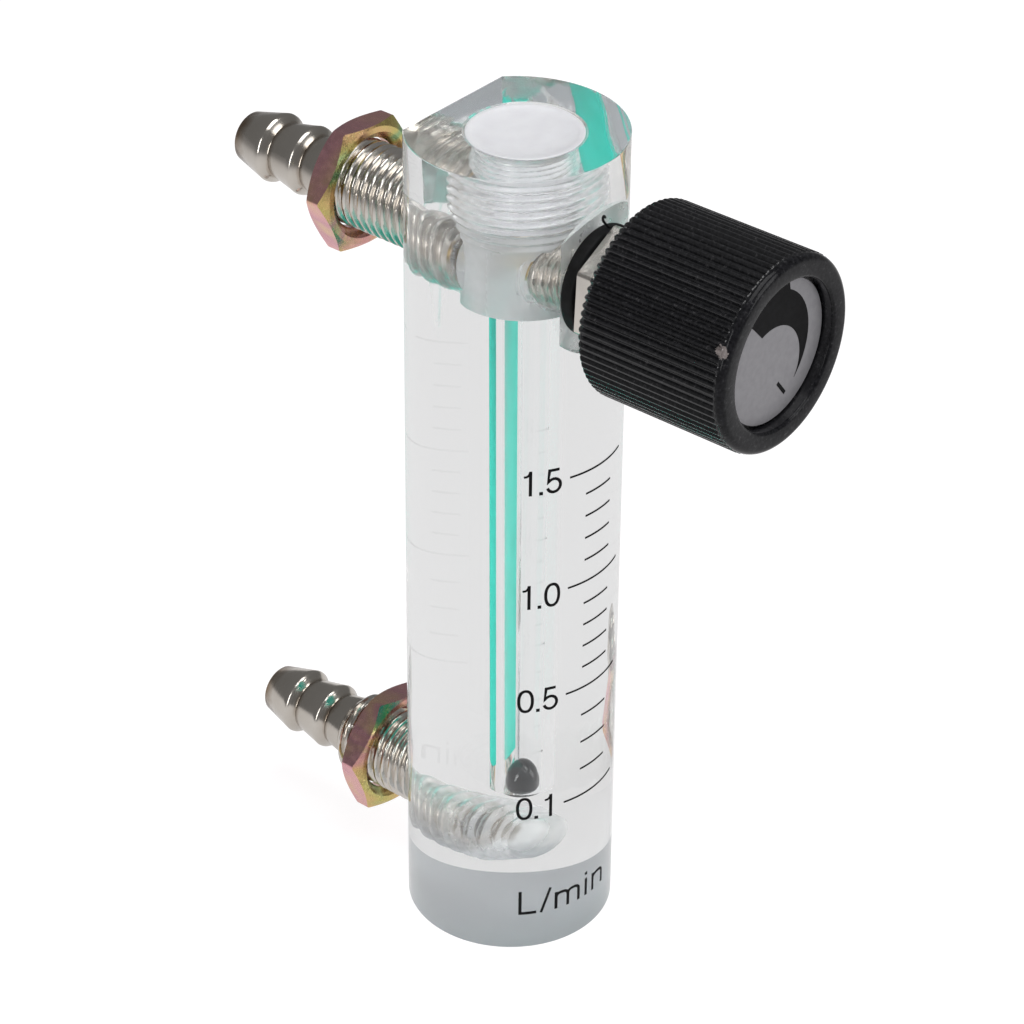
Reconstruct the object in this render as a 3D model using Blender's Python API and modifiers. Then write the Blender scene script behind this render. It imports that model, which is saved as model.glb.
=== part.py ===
"""Acrylic oxygen flowmeter with a needle valve, a ball float and two hose connectors.

The clear body stands on its base. X runs across the back flat, +Y out of the back,
where the two connectors leave the body, and the control knob faces -Y. The origin
lies on the body's axis, in the plane of the base.
"""
import math

import bmesh
import bpy
from mathutils import Matrix

MM = 0.001

# Clearance between pieces that seat in or on each other
FIT = 0.30 * MM

# Small chamfer on turned edges
EDGE = 0.25 * MM

# Body: a turned acrylic rod with one flat along its back
BODY_RADIUS = 12.0 * MM
BODY_HEIGHT = 100.8 * MM
BACK_FLAT = 8.8 * MM
BORE_SHIFT = 1.08 * MM

# Ports: the lower one's height, how far the upper pair lies below the top, and how far
# the blind lower one reaches past the axis
INLET_HEIGHT = 11.5 * MM
OUTLET_DROP = 14.0 * MM
INLET_DEPTH = 2.4 * MM
DRILL_POINT = math.radians(59.0)

# Tapered tube that the ball rides in
TUBE_FOOT = 18.2 * MM
TUBE_FOOT_RADIUS = 2.30 * MM
TUBE_TOP_RADIUS = 2.65 * MM
SEAT_FALL = 0.6 * MM
THROAT_RADIUS = 1.80 * MM

# Chamber over the tube, and the tapped mouth that the plug closes
CHAMBER_RADIUS = 4.6 * MM
CHAMBER_DEPTH = 18.8 * MM
PLUG_RADIUS = 5.3 * MM
PLUG_LENGTH = 8.6 * MM
PLUG_HEAD_RADIUS = 6.34 * MM
PLUG_DISH_RADIUS = 5.7 * MM
PLUG_DISH_FLOOR = 4.9 * MM
PLUG_DISH_DEPTH = 0.35 * MM
TAP_RUNOUT = 1.5 * MM

# Ball float and the ring in the tube's top that holds it
BALL_RADIUS = 2.1 * MM
STOP_THICKNESS = 0.8 * MM
STOP_HOLE = 1.3 * MM

# Teal reading strip on the back flat
STRIP_WIDTH = 10.6 * MM
STRIP_THICKNESS = 0.3 * MM
STRIP_MARGIN = 1.3 * MM

# Hose connectors: places of their inner ends, then sizes that run inwards from the tip
CONNECTOR_LENGTH = 33.75 * MM
OUTLET_INNER = 4.6 * MM
INLET_INNER = 2.85 * MM
CONNECTOR_BORE = 1.9 * MM
ORIFICE_RADIUS = 1.2 * MM
ORIFICE_LENGTH = 1.5 * MM
THREAD_RADIUS = 5.0 * MM
THREAD_START = 14.0 * MM
ROOT_THREAD_RADIUS = 4.2 * MM
TIP_RADIUS = 2.9 * MM
BARB_COUNT = 2
BARB_RADIUS = 4.0 * MM
BARB_ROOT = 3.2 * MM
BARB_LAND = 0.5 * MM
BARB_PITCH = 4.7 * MM
FIRST_BARB = 4.3 * MM
STEM_RADIUS = 3.7 * MM

# Hexagons: chamfer of their corners, and share of the flats that a face keeps
HEX_CHAMFER = math.radians(30.0)
HEX_FACE = 0.97

# Panel nuts
NUT_FLATS = 14.0 * MM
NUT_THICKNESS = 3.0 * MM
NUT_SINK = 0.9 * MM
OUTLET_NUT_TURN = math.radians(56.0)
INLET_NUT_TURN = math.radians(50.0)
OUTLET_NUT_FACE = 20.5 * MM
INLET_NUT_FACE = 17.1 * MM

# Valve: a screwed bonnet with a hexagon, sealed on a spot face by a rubber washer
VALVE_RADIUS = 4.0 * MM
VALVE_REACH = 4.0 * MM
SPOT_DEPTH = 1.4 * MM
SPOT_RADIUS = 8.6 * MM
WASHER_RADIUS = 6.2 * MM
WASHER_THICKNESS = 1.7 * MM
HEX_FLATS = 12.0 * MM
HEX_THICKNESS = 3.0 * MM
HEX_TURN = math.radians(27.0)
NECK_LENGTH = 2.5 * MM

# Spindle: needle, screwed length, seal groove and the seat for the knob
SCREW_RADIUS = 2.6 * MM
SCREW_START = 7.2 * MM
SCREW_LENGTH = 5.7 * MM
NEEDLE_RADIUS = 1.4 * MM
NEEDLE_TAPER = 3.0 * MM
NEEDLE_TIP = 0.4 * MM
NEEDLE_PAST_ORIFICE = 0.65 * MM
SHANK_RADIUS = 2.3 * MM
SEAL_SETBACK = 2.4 * MM
SEAL_SECTION = 0.5 * MM
SEAL_GROOVE = 1.3 * MM
SEAL_GROOVE_WIDTH = 1.6 * MM
SHANK_END = 19.7 * MM
SPINDLE_END_RADIUS = 2.0 * MM

# Knob: a moulded ribbed shell on a brass bush, held by a screw under its face disc
KNOB_RADIUS = 11.0 * MM
KNOB_REAR = 17.0 * MM
KNOB_LENGTH = 18.5 * MM
RIB_COUNT = 75
RIB_DEPTH = 0.4 * MM
RIB_SETBACK = 0.1 * MM
BEZEL_LENGTH = 0.9 * MM
BEZEL_ROUND = 0.8 * MM
KNOB_WALL = 1.6 * MM
KNOB_FACE_WALL = 3.0 * MM
RECESS_DEPTH = 2.0 * MM
RECESS_RADIUS = 8.4 * MM
HUB_RADIUS = 4.8 * MM
BUSH_RADIUS = 3.3 * MM
BUSH_LENGTH = 11.0 * MM
SCREW_HEAD_RADIUS = 2.2 * MM
SCREW_HEAD_HEIGHT = 0.9 * MM
SCREW_SHANK_RADIUS = 1.0 * MM
SCREW_SHANK_LENGTH = 7.5 * MM
DISC_THICKNESS = 0.4 * MM

# Facets round a full circle
ROUND = 96
TURNED = 40
SMALL = 24
CROWN = 60

# Places that follow from the sizes above
OUTLET_HEIGHT = BODY_HEIGHT - OUTLET_DROP
CHAMBER_FLOOR = BODY_HEIGHT - CHAMBER_DEPTH
STOP_FOOT = CHAMBER_FLOOR - STOP_THICKNESS
PLUG_FOOT = BODY_HEIGHT - PLUG_LENGTH
STRIP_LOW = INLET_HEIGHT + THREAD_RADIUS + STRIP_MARGIN
STRIP_HIGH = OUTLET_HEIGHT - THREAD_RADIUS - STRIP_MARGIN
SPOT_FACE = BODY_RADIUS - SPOT_DEPTH
WASHER_BACK = SPOT_FACE + FIT
HEX_BACK = WASHER_BACK + WASHER_THICKNESS + FIT
HEX_FRONT = HEX_BACK + HEX_THICKNESS
NECK_END = HEX_FRONT + NECK_LENGTH
SEAL_PLACE = NECK_END - SEAL_SETBACK
NEEDLE_END = OUTLET_INNER + NEEDLE_PAST_ORIFICE
KNOB_FRONT = KNOB_REAR + KNOB_LENGTH
RECESS_FLOOR = KNOB_FRONT - RECESS_DEPTH
BUSH_BACK = SHANK_END + FIT
BUSH_FRONT = BUSH_BACK + BUSH_LENGTH
HEAD_SEAT = RECESS_FLOOR - SCREW_HEAD_HEIGHT - 2 * FIT
HEAD_BACK = HEAD_SEAT + FIT
SPINDLE_END = BUSH_FRONT - FIT
SCREW_TIP = HEAD_BACK - SCREW_SHANK_LENGTH


def new_collection(name):
    """Return an empty collection linked to the scene."""
    group = bpy.data.collections.new(name)
    bpy.context.scene.collection.children.link(group)
    return group


def material(name, colour, roughness, metallic=0.0, transmission=0.0):
    """Return a Principled material."""
    mat = bpy.data.materials.new(name)
    mat.use_nodes = True
    shader = mat.node_tree.nodes["Principled BSDF"]
    shader.inputs["Base Color"].default_value = (*colour, 1.0)
    shader.inputs["Roughness"].default_value = roughness
    shader.inputs["Metallic"].default_value = metallic
    shader.inputs["Transmission Weight"].default_value = transmission
    shader.inputs["IOR"].default_value = 1.49
    return mat


def add_object(name, mesh, group, mat=None):
    """Link a mesh to a collection as an object, shaded smooth up to 35 degrees."""
    obj = bpy.data.objects.new(name, mesh)
    group.objects.link(obj)
    if mat:
        mesh.materials.append(mat)
    mesh.shade_smooth()
    mesh.set_sharp_from_angle(angle=math.radians(35.0))
    return obj


def turned(name, profile, group, mat=None, closed=False, facets=TURNED):
    """Turn a profile of (radius, height) points about Z; it runs down its outer side."""
    mesh = bpy.data.meshes.new(name)
    edges = [(i, i + 1) for i in range(len(profile) - 1)]
    if closed:
        edges.append((len(profile) - 1, 0))
    mesh.from_pydata([(r, 0.0, z) for r, z in profile], edges, [])
    obj = add_object(name, mesh, group, mat)
    screw = obj.modifiers.new("Turn", "SCREW")
    screw.steps = facets
    screw.render_steps = facets
    screw.use_merge_vertices = True
    screw.merge_threshold = 0.00001
    screw.use_smooth_shade = True
    return obj


def prism(name, radius, low, high, sides, turn, group, mat=None):
    """Make an upright regular prism whose first corner points along turn."""
    mesh = bpy.data.meshes.new(name)
    bm = bmesh.new()
    bmesh.ops.create_cone(
        bm, cap_ends=True, segments=sides, radius1=radius, radius2=radius, depth=high - low
    )
    first = max(bm.verts, key=lambda v: (round(v.co.x, 9), round(v.co.y, 9), v.co.z)).co
    start = math.atan2(first.y, first.x)
    bmesh.ops.rotate(
        bm, verts=bm.verts, cent=(0, 0, 0), matrix=Matrix.Rotation(turn - start, 3, "Z")
    )
    bmesh.ops.translate(bm, verts=bm.verts, vec=(0, 0, (low + high) / 2))
    bm.to_mesh(mesh)
    bm.free()
    return add_object(name, mesh, group, mat)


def box(name, low, high, group, mat=None):
    """Make a box between two corners."""
    mesh = bpy.data.meshes.new(name)
    bm = bmesh.new()
    bmesh.ops.create_cube(bm, size=1.0)
    size = [b - a for a, b in zip(low, high)]
    middle = [(a + b) / 2 for a, b in zip(low, high)]
    bmesh.ops.scale(bm, verts=bm.verts, vec=size)
    bmesh.ops.translate(bm, verts=bm.verts, vec=middle)
    bm.to_mesh(mesh)
    bm.free()
    return add_object(name, mesh, group, mat)


def combine(target, tool, operation):
    """Add an exact Boolean to target, and show its tool as a wire."""
    step = target.modifiers.new(tool.name, "BOOLEAN")
    step.operation = operation
    step.solver = "EXACT"
    step.object = tool
    tool.display_type = "WIRE"
    tool.hide_render = True


def point_back(obj, height):
    """Lay a piece turned about Z along +Y, its own height measured from the body's axis."""
    obj.rotation_euler = (-math.pi / 2, 0, 0)
    obj.location = (0, 0, height)


def point_forward(obj, height):
    """Lay a piece turned about Z along -Y, its own height measured from the body's axis."""
    obj.rotation_euler = (math.pi / 2, 0, 0)
    obj.location = (0, 0, height)


def arc(centre, radius, start, end, count):
    """Return points on an arc of a profile, from one angle to another, in degrees."""
    angles = [math.radians(start + (end - start) * i / count) for i in range(count + 1)]
    return [(centre[0] + radius * math.cos(a), centre[1] + radius * math.sin(a)) for a in angles]


def make_body(parts, cutters, acrylic):
    """Rod with a back flat, the stepped vertical bore and three cross ports."""
    profile = [
        (0, BODY_HEIGHT),
        (BODY_RADIUS - EDGE, BODY_HEIGHT),
        (BODY_RADIUS, BODY_HEIGHT - EDGE),
        (BODY_RADIUS, EDGE),
        (BODY_RADIUS - EDGE, 0),
        (0, 0),
    ]
    body = turned("body", profile, parts, acrylic, facets=ROUND)

    past = BODY_RADIUS
    flat = box(
        "back_flat_cut",
        (-BODY_RADIUS - past, BACK_FLAT, -past),
        (BODY_RADIUS + past, BACK_FLAT + past, BODY_HEIGHT + past),
        cutters,
    )
    combine(body, flat, "DIFFERENCE")

    mouth = PLUG_HEAD_RADIUS + FIT
    tapped = PLUG_RADIUS + FIT
    bore_profile = [
        (0, BODY_HEIGHT + past),
        (mouth, BODY_HEIGHT + past),
        (mouth, BODY_HEIGHT),
        (tapped, BODY_HEIGHT - (mouth - tapped)),
        (tapped, PLUG_FOOT - TAP_RUNOUT),
        (CHAMBER_RADIUS, PLUG_FOOT - TAP_RUNOUT - (tapped - CHAMBER_RADIUS)),
        (CHAMBER_RADIUS, CHAMBER_FLOOR),
        (TUBE_TOP_RADIUS, CHAMBER_FLOOR),
        (TUBE_FOOT_RADIUS, TUBE_FOOT),
        (THROAT_RADIUS, TUBE_FOOT - SEAT_FALL),
        (THROAT_RADIUS, INLET_HEIGHT),
        (0, INLET_HEIGHT),
    ]
    bore = turned("vertical_bore", bore_profile, cutters)
    bore.location = (0, -BORE_SHIFT, 0)
    combine(body, bore, "DIFFERENCE")

    port = ROOT_THREAD_RADIUS + FIT
    inlet_profile = [
        (0, BACK_FLAT + past),
        (port, BACK_FLAT + past),
        (port, -INLET_DEPTH),
        (0, -INLET_DEPTH - port / math.tan(DRILL_POINT)),
    ]
    inlet = turned("inlet_port", inlet_profile, cutters)
    point_back(inlet, INLET_HEIGHT)
    combine(body, inlet, "DIFFERENCE")

    outlet_profile = [
        (0, BACK_FLAT + past),
        (port, BACK_FLAT + past),
        (port, 0),
        (0, 0),
    ]
    outlet = turned("outlet_port", outlet_profile, cutters)
    point_back(outlet, OUTLET_HEIGHT)
    combine(body, outlet, "DIFFERENCE")

    valve = VALVE_RADIUS + FIT
    valve_profile = [
        (0, BODY_RADIUS + past),
        (SPOT_RADIUS, BODY_RADIUS + past),
        (SPOT_RADIUS, SPOT_FACE),
        (valve, SPOT_FACE),
        (valve, BORE_SHIFT),
        (0, BORE_SHIFT),
    ]
    valve_port = turned("valve_port", valve_profile, cutters)
    point_forward(valve_port, OUTLET_HEIGHT)
    combine(body, valve_port, "DIFFERENCE")


def make_top_plug(parts, nylon):
    """Screwed nylon plug with a countersunk head and a shallow dish in its face."""
    neck = BODY_HEIGHT - (PLUG_HEAD_RADIUS - PLUG_RADIUS)
    profile = [
        (0, BODY_HEIGHT - PLUG_DISH_DEPTH),
        (PLUG_DISH_FLOOR, BODY_HEIGHT - PLUG_DISH_DEPTH),
        (PLUG_DISH_RADIUS, BODY_HEIGHT),
        (PLUG_HEAD_RADIUS, BODY_HEIGHT),
        (PLUG_RADIUS, neck),
        (PLUG_RADIUS, PLUG_FOOT + EDGE),
        (PLUG_RADIUS - EDGE, PLUG_FOOT),
        (0, PLUG_FOOT),
    ]
    plug = turned("top_plug", profile, parts, nylon)
    plug.location = (0, -BORE_SHIFT, 0)


def make_float(parts, ball_black, nylon):
    """Ball on its conical seat, and the ring that keeps it in the tube."""
    slope = math.atan2(TUBE_FOOT_RADIUS - THROAT_RADIUS, SEAT_FALL)
    clear = BALL_RADIUS + FIT
    seat_edge = TUBE_FOOT - SEAT_FALL
    touch_cone = clear / math.sin(slope) - THROAT_RADIUS / math.tan(slope)
    touch_edge = math.sqrt(clear**2 - THROAT_RADIUS**2)
    rest = seat_edge + max(touch_cone, touch_edge)

    mesh = bpy.data.meshes.new("float_ball")
    bm = bmesh.new()
    bmesh.ops.create_uvsphere(bm, u_segments=SMALL, v_segments=SMALL // 2, radius=BALL_RADIUS)
    bm.to_mesh(mesh)
    bm.free()
    ball = add_object("float_ball", mesh, parts, ball_black)
    ball.location = (0, -BORE_SHIFT, rest)

    rim = TUBE_TOP_RADIUS - FIT
    profile = [
        (rim, STOP_FOOT + STOP_THICKNESS),
        (rim, STOP_FOOT),
        (STOP_HOLE, STOP_FOOT),
        (STOP_HOLE, STOP_FOOT + STOP_THICKNESS),
    ]
    stop = turned("float_stop", profile, parts, nylon, closed=True, facets=SMALL)
    stop.location = (0, -BORE_SHIFT, 0)


def make_strip(parts, teal):
    """Teal strip on the flat, between the two ports."""
    box(
        "back_strip",
        (-STRIP_WIDTH / 2, BACK_FLAT + FIT, STRIP_LOW),
        (STRIP_WIDTH / 2, BACK_FLAT + FIT + STRIP_THICKNESS, STRIP_HIGH),
        parts,
        teal,
    )


def make_connector(name, inner, height, orifice, parts, nickel):
    """Turned connector: barbed nose, stem with two screwed lengths, and a through bore."""
    reach = inner + CONNECTOR_LENGTH
    shoulder = BACK_FLAT + FIT
    profile = [
        (CONNECTOR_BORE, reach),
        (TIP_RADIUS, reach),
    ]
    for number in range(BARB_COUNT):
        crest = reach - FIRST_BARB - number * BARB_PITCH
        profile += [
            (BARB_RADIUS, crest),
            (BARB_RADIUS, crest - BARB_LAND),
            (BARB_ROOT, crest - BARB_LAND - (BARB_RADIUS - BARB_ROOT) / 2),
        ]
    profile += [
        (STEM_RADIUS, reach - THREAD_START + (THREAD_RADIUS - STEM_RADIUS) / 2),
        (THREAD_RADIUS, reach - THREAD_START),
        (THREAD_RADIUS, shoulder),
        (ROOT_THREAD_RADIUS, shoulder),
        (ROOT_THREAD_RADIUS, inner + EDGE),
        (ROOT_THREAD_RADIUS - EDGE, inner),
    ]
    if orifice:
        profile += [
            (ORIFICE_RADIUS, inner),
            (ORIFICE_RADIUS, inner + ORIFICE_LENGTH),
            (CONNECTOR_BORE, inner + ORIFICE_LENGTH + CONNECTOR_BORE - ORIFICE_RADIUS),
        ]
    else:
        profile.append((CONNECTOR_BORE, inner))
    connector = turned(name, profile, parts, nickel, closed=True)
    point_back(connector, height)


def hexagon(name, flats, low, high, bore, turn, parts, cutters, mat):
    """Hexagon with its corners chamfered, and a bore sunk at both ends if one is given."""
    corner = flats / math.sqrt(3)
    piece = prism(name, corner, low, high, 6, turn, parts, mat)
    rim = corner + FIT
    fall = math.tan(HEX_CHAMFER)
    face = flats / 2 * HEX_FACE
    crown_profile = [
        (0, high + face * fall),
        (rim, high - (rim - face) * fall),
        (rim, low + (rim - face) * fall),
        (0, low - face * fall),
    ]
    crown = turned(name + "_crown", crown_profile, cutters, facets=CROWN)
    combine(piece, crown, "INTERSECT")
    tools = [crown]
    if bore:
        hole_profile = [
            (0, high + NUT_SINK),
            (bore + 2 * NUT_SINK, high + NUT_SINK),
            (bore, high - NUT_SINK),
            (bore, low + NUT_SINK),
            (bore + 2 * NUT_SINK, low - NUT_SINK),
            (0, low - NUT_SINK),
        ]
        hole = turned(name + "_hole", hole_profile, cutters)
        combine(piece, hole, "DIFFERENCE")
        tools.append(hole)
    return piece, tools


def make_nut(name, face, height, turn, parts, cutters, zinc):
    """Thin panel nut on a connector's stem."""
    bore = THREAD_RADIUS + FIT
    high = face + NUT_THICKNESS
    nut, tools = hexagon(name, NUT_FLATS, face, high, bore, -turn, parts, cutters, zinc)
    for piece in (nut, *tools):
        point_back(piece, height)


def make_valve(parts, cutters, nickel, brass, rubber):
    """Washer, bonnet with its hexagon, and the spindle with its seal."""
    washer_profile = [
        (WASHER_RADIUS - EDGE, WASHER_BACK + WASHER_THICKNESS),
        (WASHER_RADIUS, WASHER_BACK + WASHER_THICKNESS - EDGE),
        (WASHER_RADIUS, WASHER_BACK + EDGE),
        (WASHER_RADIUS - EDGE, WASHER_BACK),
        (VALVE_RADIUS + FIT, WASHER_BACK),
        (VALVE_RADIUS + FIT, WASHER_BACK + WASHER_THICKNESS),
    ]
    washer = turned("valve_washer", washer_profile, parts, rubber, closed=True)
    point_forward(washer, OUTLET_HEIGHT)

    bore = SCREW_RADIUS + FIT
    bonnet, tools = hexagon(
        "valve_bonnet", HEX_FLATS, HEX_BACK, HEX_FRONT, 0, HEX_TURN, parts, cutters, nickel
    )
    stem_profile = [
        (0, NECK_END),
        (VALVE_RADIUS - EDGE, NECK_END),
        (VALVE_RADIUS, NECK_END - EDGE),
        (VALVE_RADIUS, VALVE_REACH + EDGE),
        (VALVE_RADIUS - EDGE, VALVE_REACH),
        (0, VALVE_REACH),
    ]
    stem = turned("bonnet_stem", stem_profile, cutters)
    combine(bonnet, stem, "UNION")
    hole_profile = [
        (0, NECK_END + bore),
        (bore, NECK_END + bore),
        (bore, VALVE_REACH - bore),
        (0, VALVE_REACH - bore),
    ]
    hole = turned("bonnet_hole", hole_profile, cutters)
    combine(bonnet, hole, "DIFFERENCE")
    for piece in (bonnet, stem, hole, *tools):
        point_forward(piece, OUTLET_HEIGHT)

    make_spindle(parts, brass)

    middle = SEAL_GROOVE + FIT + SEAL_SECTION
    ring_profile = arc((middle, SEAL_PLACE), SEAL_SECTION, 180, -180, 10)[:-1]
    seal = turned("spindle_seal", ring_profile, parts, rubber, closed=True, facets=SMALL)
    point_forward(seal, OUTLET_HEIGHT)


def make_spindle(parts, brass):
    """Needle, screwed length, grooved shank and the stepped end under the knob."""
    screw_end = SCREW_START + SCREW_LENGTH
    groove_low = SEAL_PLACE - SEAL_GROOVE_WIDTH / 2
    groove_high = SEAL_PLACE + SEAL_GROOVE_WIDTH / 2
    tapped = SCREW_SHANK_RADIUS + FIT
    profile = [
        (0, SCREW_TIP - FIT),
        (tapped, SCREW_TIP - FIT),
        (tapped, SPINDLE_END),
        (SPINDLE_END_RADIUS, SPINDLE_END),
        (SPINDLE_END_RADIUS, SHANK_END),
        (SHANK_RADIUS, SHANK_END),
        (SHANK_RADIUS, groove_high),
        (SEAL_GROOVE, groove_high),
        (SEAL_GROOVE, groove_low),
        (SHANK_RADIUS, groove_low),
        (SHANK_RADIUS, screw_end),
        (SCREW_RADIUS, screw_end - FIT),
        (SCREW_RADIUS, SCREW_START + FIT),
        (SCREW_RADIUS - FIT, SCREW_START),
        (NEEDLE_RADIUS, SCREW_START),
        (NEEDLE_RADIUS, NEEDLE_TAPER - NEEDLE_END),
        (NEEDLE_TIP, -NEEDLE_END),
        (0, -NEEDLE_END),
    ]
    spindle = turned("valve_spindle", profile, parts, brass, facets=SMALL)
    point_forward(spindle, OUTLET_HEIGHT)


def ribbed_barrel(name, low, high, group, mat):
    """Make a cylinder whose wall alternates between the ribs' crests and roots."""
    crest = KNOB_RADIUS - RIB_SETBACK
    sides = 4 * RIB_COUNT
    barrel = prism(name, crest, low, high, sides, 0.0, group, mat)
    for vert in barrel.data.vertices:
        step = round(math.atan2(vert.co.y, vert.co.x) / (2 * math.pi) * sides)
        if step % 4 in (1, 2):
            vert.co.x *= (crest - RIB_DEPTH) / crest
            vert.co.y *= (crest - RIB_DEPTH) / crest
    return barrel


def make_knob(parts, cutters, abs_black, brass, steel, disc_grey):
    """Ribbed knob with its bush, its screw and the disc that hides the screw."""
    rib_end = KNOB_FRONT - BEZEL_LENGTH
    knob = ribbed_barrel("knob", KNOB_REAR, rib_end, parts, abs_black)

    lip = RECESS_RADIUS - FIT
    turn = (KNOB_RADIUS - BEZEL_ROUND, KNOB_FRONT - BEZEL_ROUND)
    bezel_profile = [(lip, rib_end - FIT), (lip, KNOB_FRONT)]
    bezel_profile += arc(turn, BEZEL_ROUND, 90, 0, 5)
    bezel_profile.append((KNOB_RADIUS, rib_end - FIT))
    bezel = turned("knob_bezel", bezel_profile, cutters, closed=True, facets=ROUND // 2)
    combine(knob, bezel, "UNION")

    hub_back = BUSH_BACK + FIT
    skirt_floor = RECESS_FLOOR - KNOB_FACE_WALL
    skirt_inner = KNOB_RADIUS - RIB_SETBACK - RIB_DEPTH - KNOB_WALL
    skirt_profile = [
        (0, hub_back),
        (HUB_RADIUS, hub_back),
        (HUB_RADIUS, skirt_floor),
        (skirt_inner, skirt_floor),
        (skirt_inner, KNOB_REAR - KNOB_WALL),
        (0, KNOB_REAR - KNOB_WALL),
    ]
    skirt = turned("knob_skirt_space", skirt_profile, cutters, facets=ROUND // 2)
    combine(knob, skirt, "DIFFERENCE")

    face_profile = [
        (0, KNOB_FRONT + KNOB_WALL),
        (RECESS_RADIUS, KNOB_FRONT + KNOB_WALL),
        (RECESS_RADIUS, RECESS_FLOOR),
        (SCREW_HEAD_RADIUS + FIT, RECESS_FLOOR),
        (SCREW_HEAD_RADIUS + FIT, HEAD_SEAT),
        (SCREW_SHANK_RADIUS + FIT, HEAD_SEAT),
        (SCREW_SHANK_RADIUS + FIT, BUSH_FRONT + FIT),
        (BUSH_RADIUS + FIT, BUSH_FRONT + FIT),
        (BUSH_RADIUS + FIT, hub_back - KNOB_WALL),
        (0, hub_back - KNOB_WALL),
    ]
    face = turned("knob_face_bores", face_profile, cutters, facets=ROUND // 2)
    combine(knob, face, "DIFFERENCE")
    for piece in (knob, bezel, skirt, face):
        point_forward(piece, OUTLET_HEIGHT)

    bush_profile = [
        (BUSH_RADIUS, BUSH_FRONT),
        (BUSH_RADIUS, BUSH_BACK),
        (SPINDLE_END_RADIUS + FIT, BUSH_BACK),
        (SPINDLE_END_RADIUS + FIT, BUSH_FRONT),
    ]
    bush = turned("knob_bush", bush_profile, parts, brass, closed=True, facets=SMALL)
    point_forward(bush, OUTLET_HEIGHT)

    screw_profile = [
        (0, HEAD_BACK + SCREW_HEAD_HEIGHT),
        (SCREW_HEAD_RADIUS - EDGE, HEAD_BACK + SCREW_HEAD_HEIGHT),
        (SCREW_HEAD_RADIUS, HEAD_BACK + SCREW_HEAD_HEIGHT - EDGE),
        (SCREW_HEAD_RADIUS, HEAD_BACK),
        (SCREW_SHANK_RADIUS, HEAD_BACK),
        (SCREW_SHANK_RADIUS, SCREW_TIP),
        (0, SCREW_TIP),
    ]
    screw = turned("knob_screw", screw_profile, parts, steel, facets=SMALL)
    point_forward(screw, OUTLET_HEIGHT)

    disc_profile = [
        (0, RECESS_FLOOR + FIT + DISC_THICKNESS),
        (RECESS_RADIUS - FIT, RECESS_FLOOR + FIT + DISC_THICKNESS),
        (RECESS_RADIUS - FIT, RECESS_FLOOR + FIT),
        (0, RECESS_FLOOR + FIT),
    ]
    disc = turned("knob_disc", disc_profile, parts, disc_grey)
    point_forward(disc, OUTLET_HEIGHT)


def main():
    """Clear the scene and build every piece in its place."""
    for obj in list(bpy.data.objects):
        bpy.data.objects.remove(obj)
    parts = new_collection("oxygen_flowmeter")
    cutters = new_collection("cutters")

    acrylic = material("clear_acrylic", (0.93, 0.96, 0.96), 0.03, transmission=1.0)
    nylon = material("white_nylon", (0.82, 0.83, 0.85), 0.35)
    ball_black = material("ball_black", (0.03, 0.03, 0.035), 0.25)
    teal = material("teal_film", (0.05, 0.60, 0.47), 0.45)
    nickel = material("nickel_plate", (0.62, 0.59, 0.55), 0.18, metallic=1.0)
    zinc = material("yellow_zinc", (0.66, 0.50, 0.28), 0.28, metallic=1.0)
    brass = material("brass", (0.78, 0.60, 0.30), 0.30, metallic=1.0)
    rubber = material("black_rubber", (0.02, 0.02, 0.02), 0.6)
    abs_black = material("knob_black", (0.02, 0.02, 0.022), 0.38)
    steel = material("zinc_steel", (0.60, 0.60, 0.60), 0.35, metallic=1.0)
    disc_grey = material("disc_grey", (0.33, 0.32, 0.34), 0.45, metallic=0.3)

    make_body(parts, cutters, acrylic)
    make_top_plug(parts, nylon)
    make_float(parts, ball_black, nylon)
    make_strip(parts, teal)
    make_connector("outlet_connector", OUTLET_INNER, OUTLET_HEIGHT, True, parts, nickel)
    make_connector("inlet_connector", INLET_INNER, INLET_HEIGHT, False, parts, nickel)
    outlet_nut = ("outlet_nut", OUTLET_NUT_FACE, OUTLET_HEIGHT, OUTLET_NUT_TURN)
    inlet_nut = ("inlet_nut", INLET_NUT_FACE, INLET_HEIGHT, INLET_NUT_TURN)
    make_nut(*outlet_nut, parts, cutters, zinc)
    make_nut(*inlet_nut, parts, cutters, zinc)
    make_valve(parts, cutters, nickel, brass, rubber)
    make_knob(parts, cutters, abs_black, brass, steel, disc_grey)


main()
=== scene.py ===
import math

import bmesh
import bpy
from mathutils import Matrix, Vector


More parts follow.
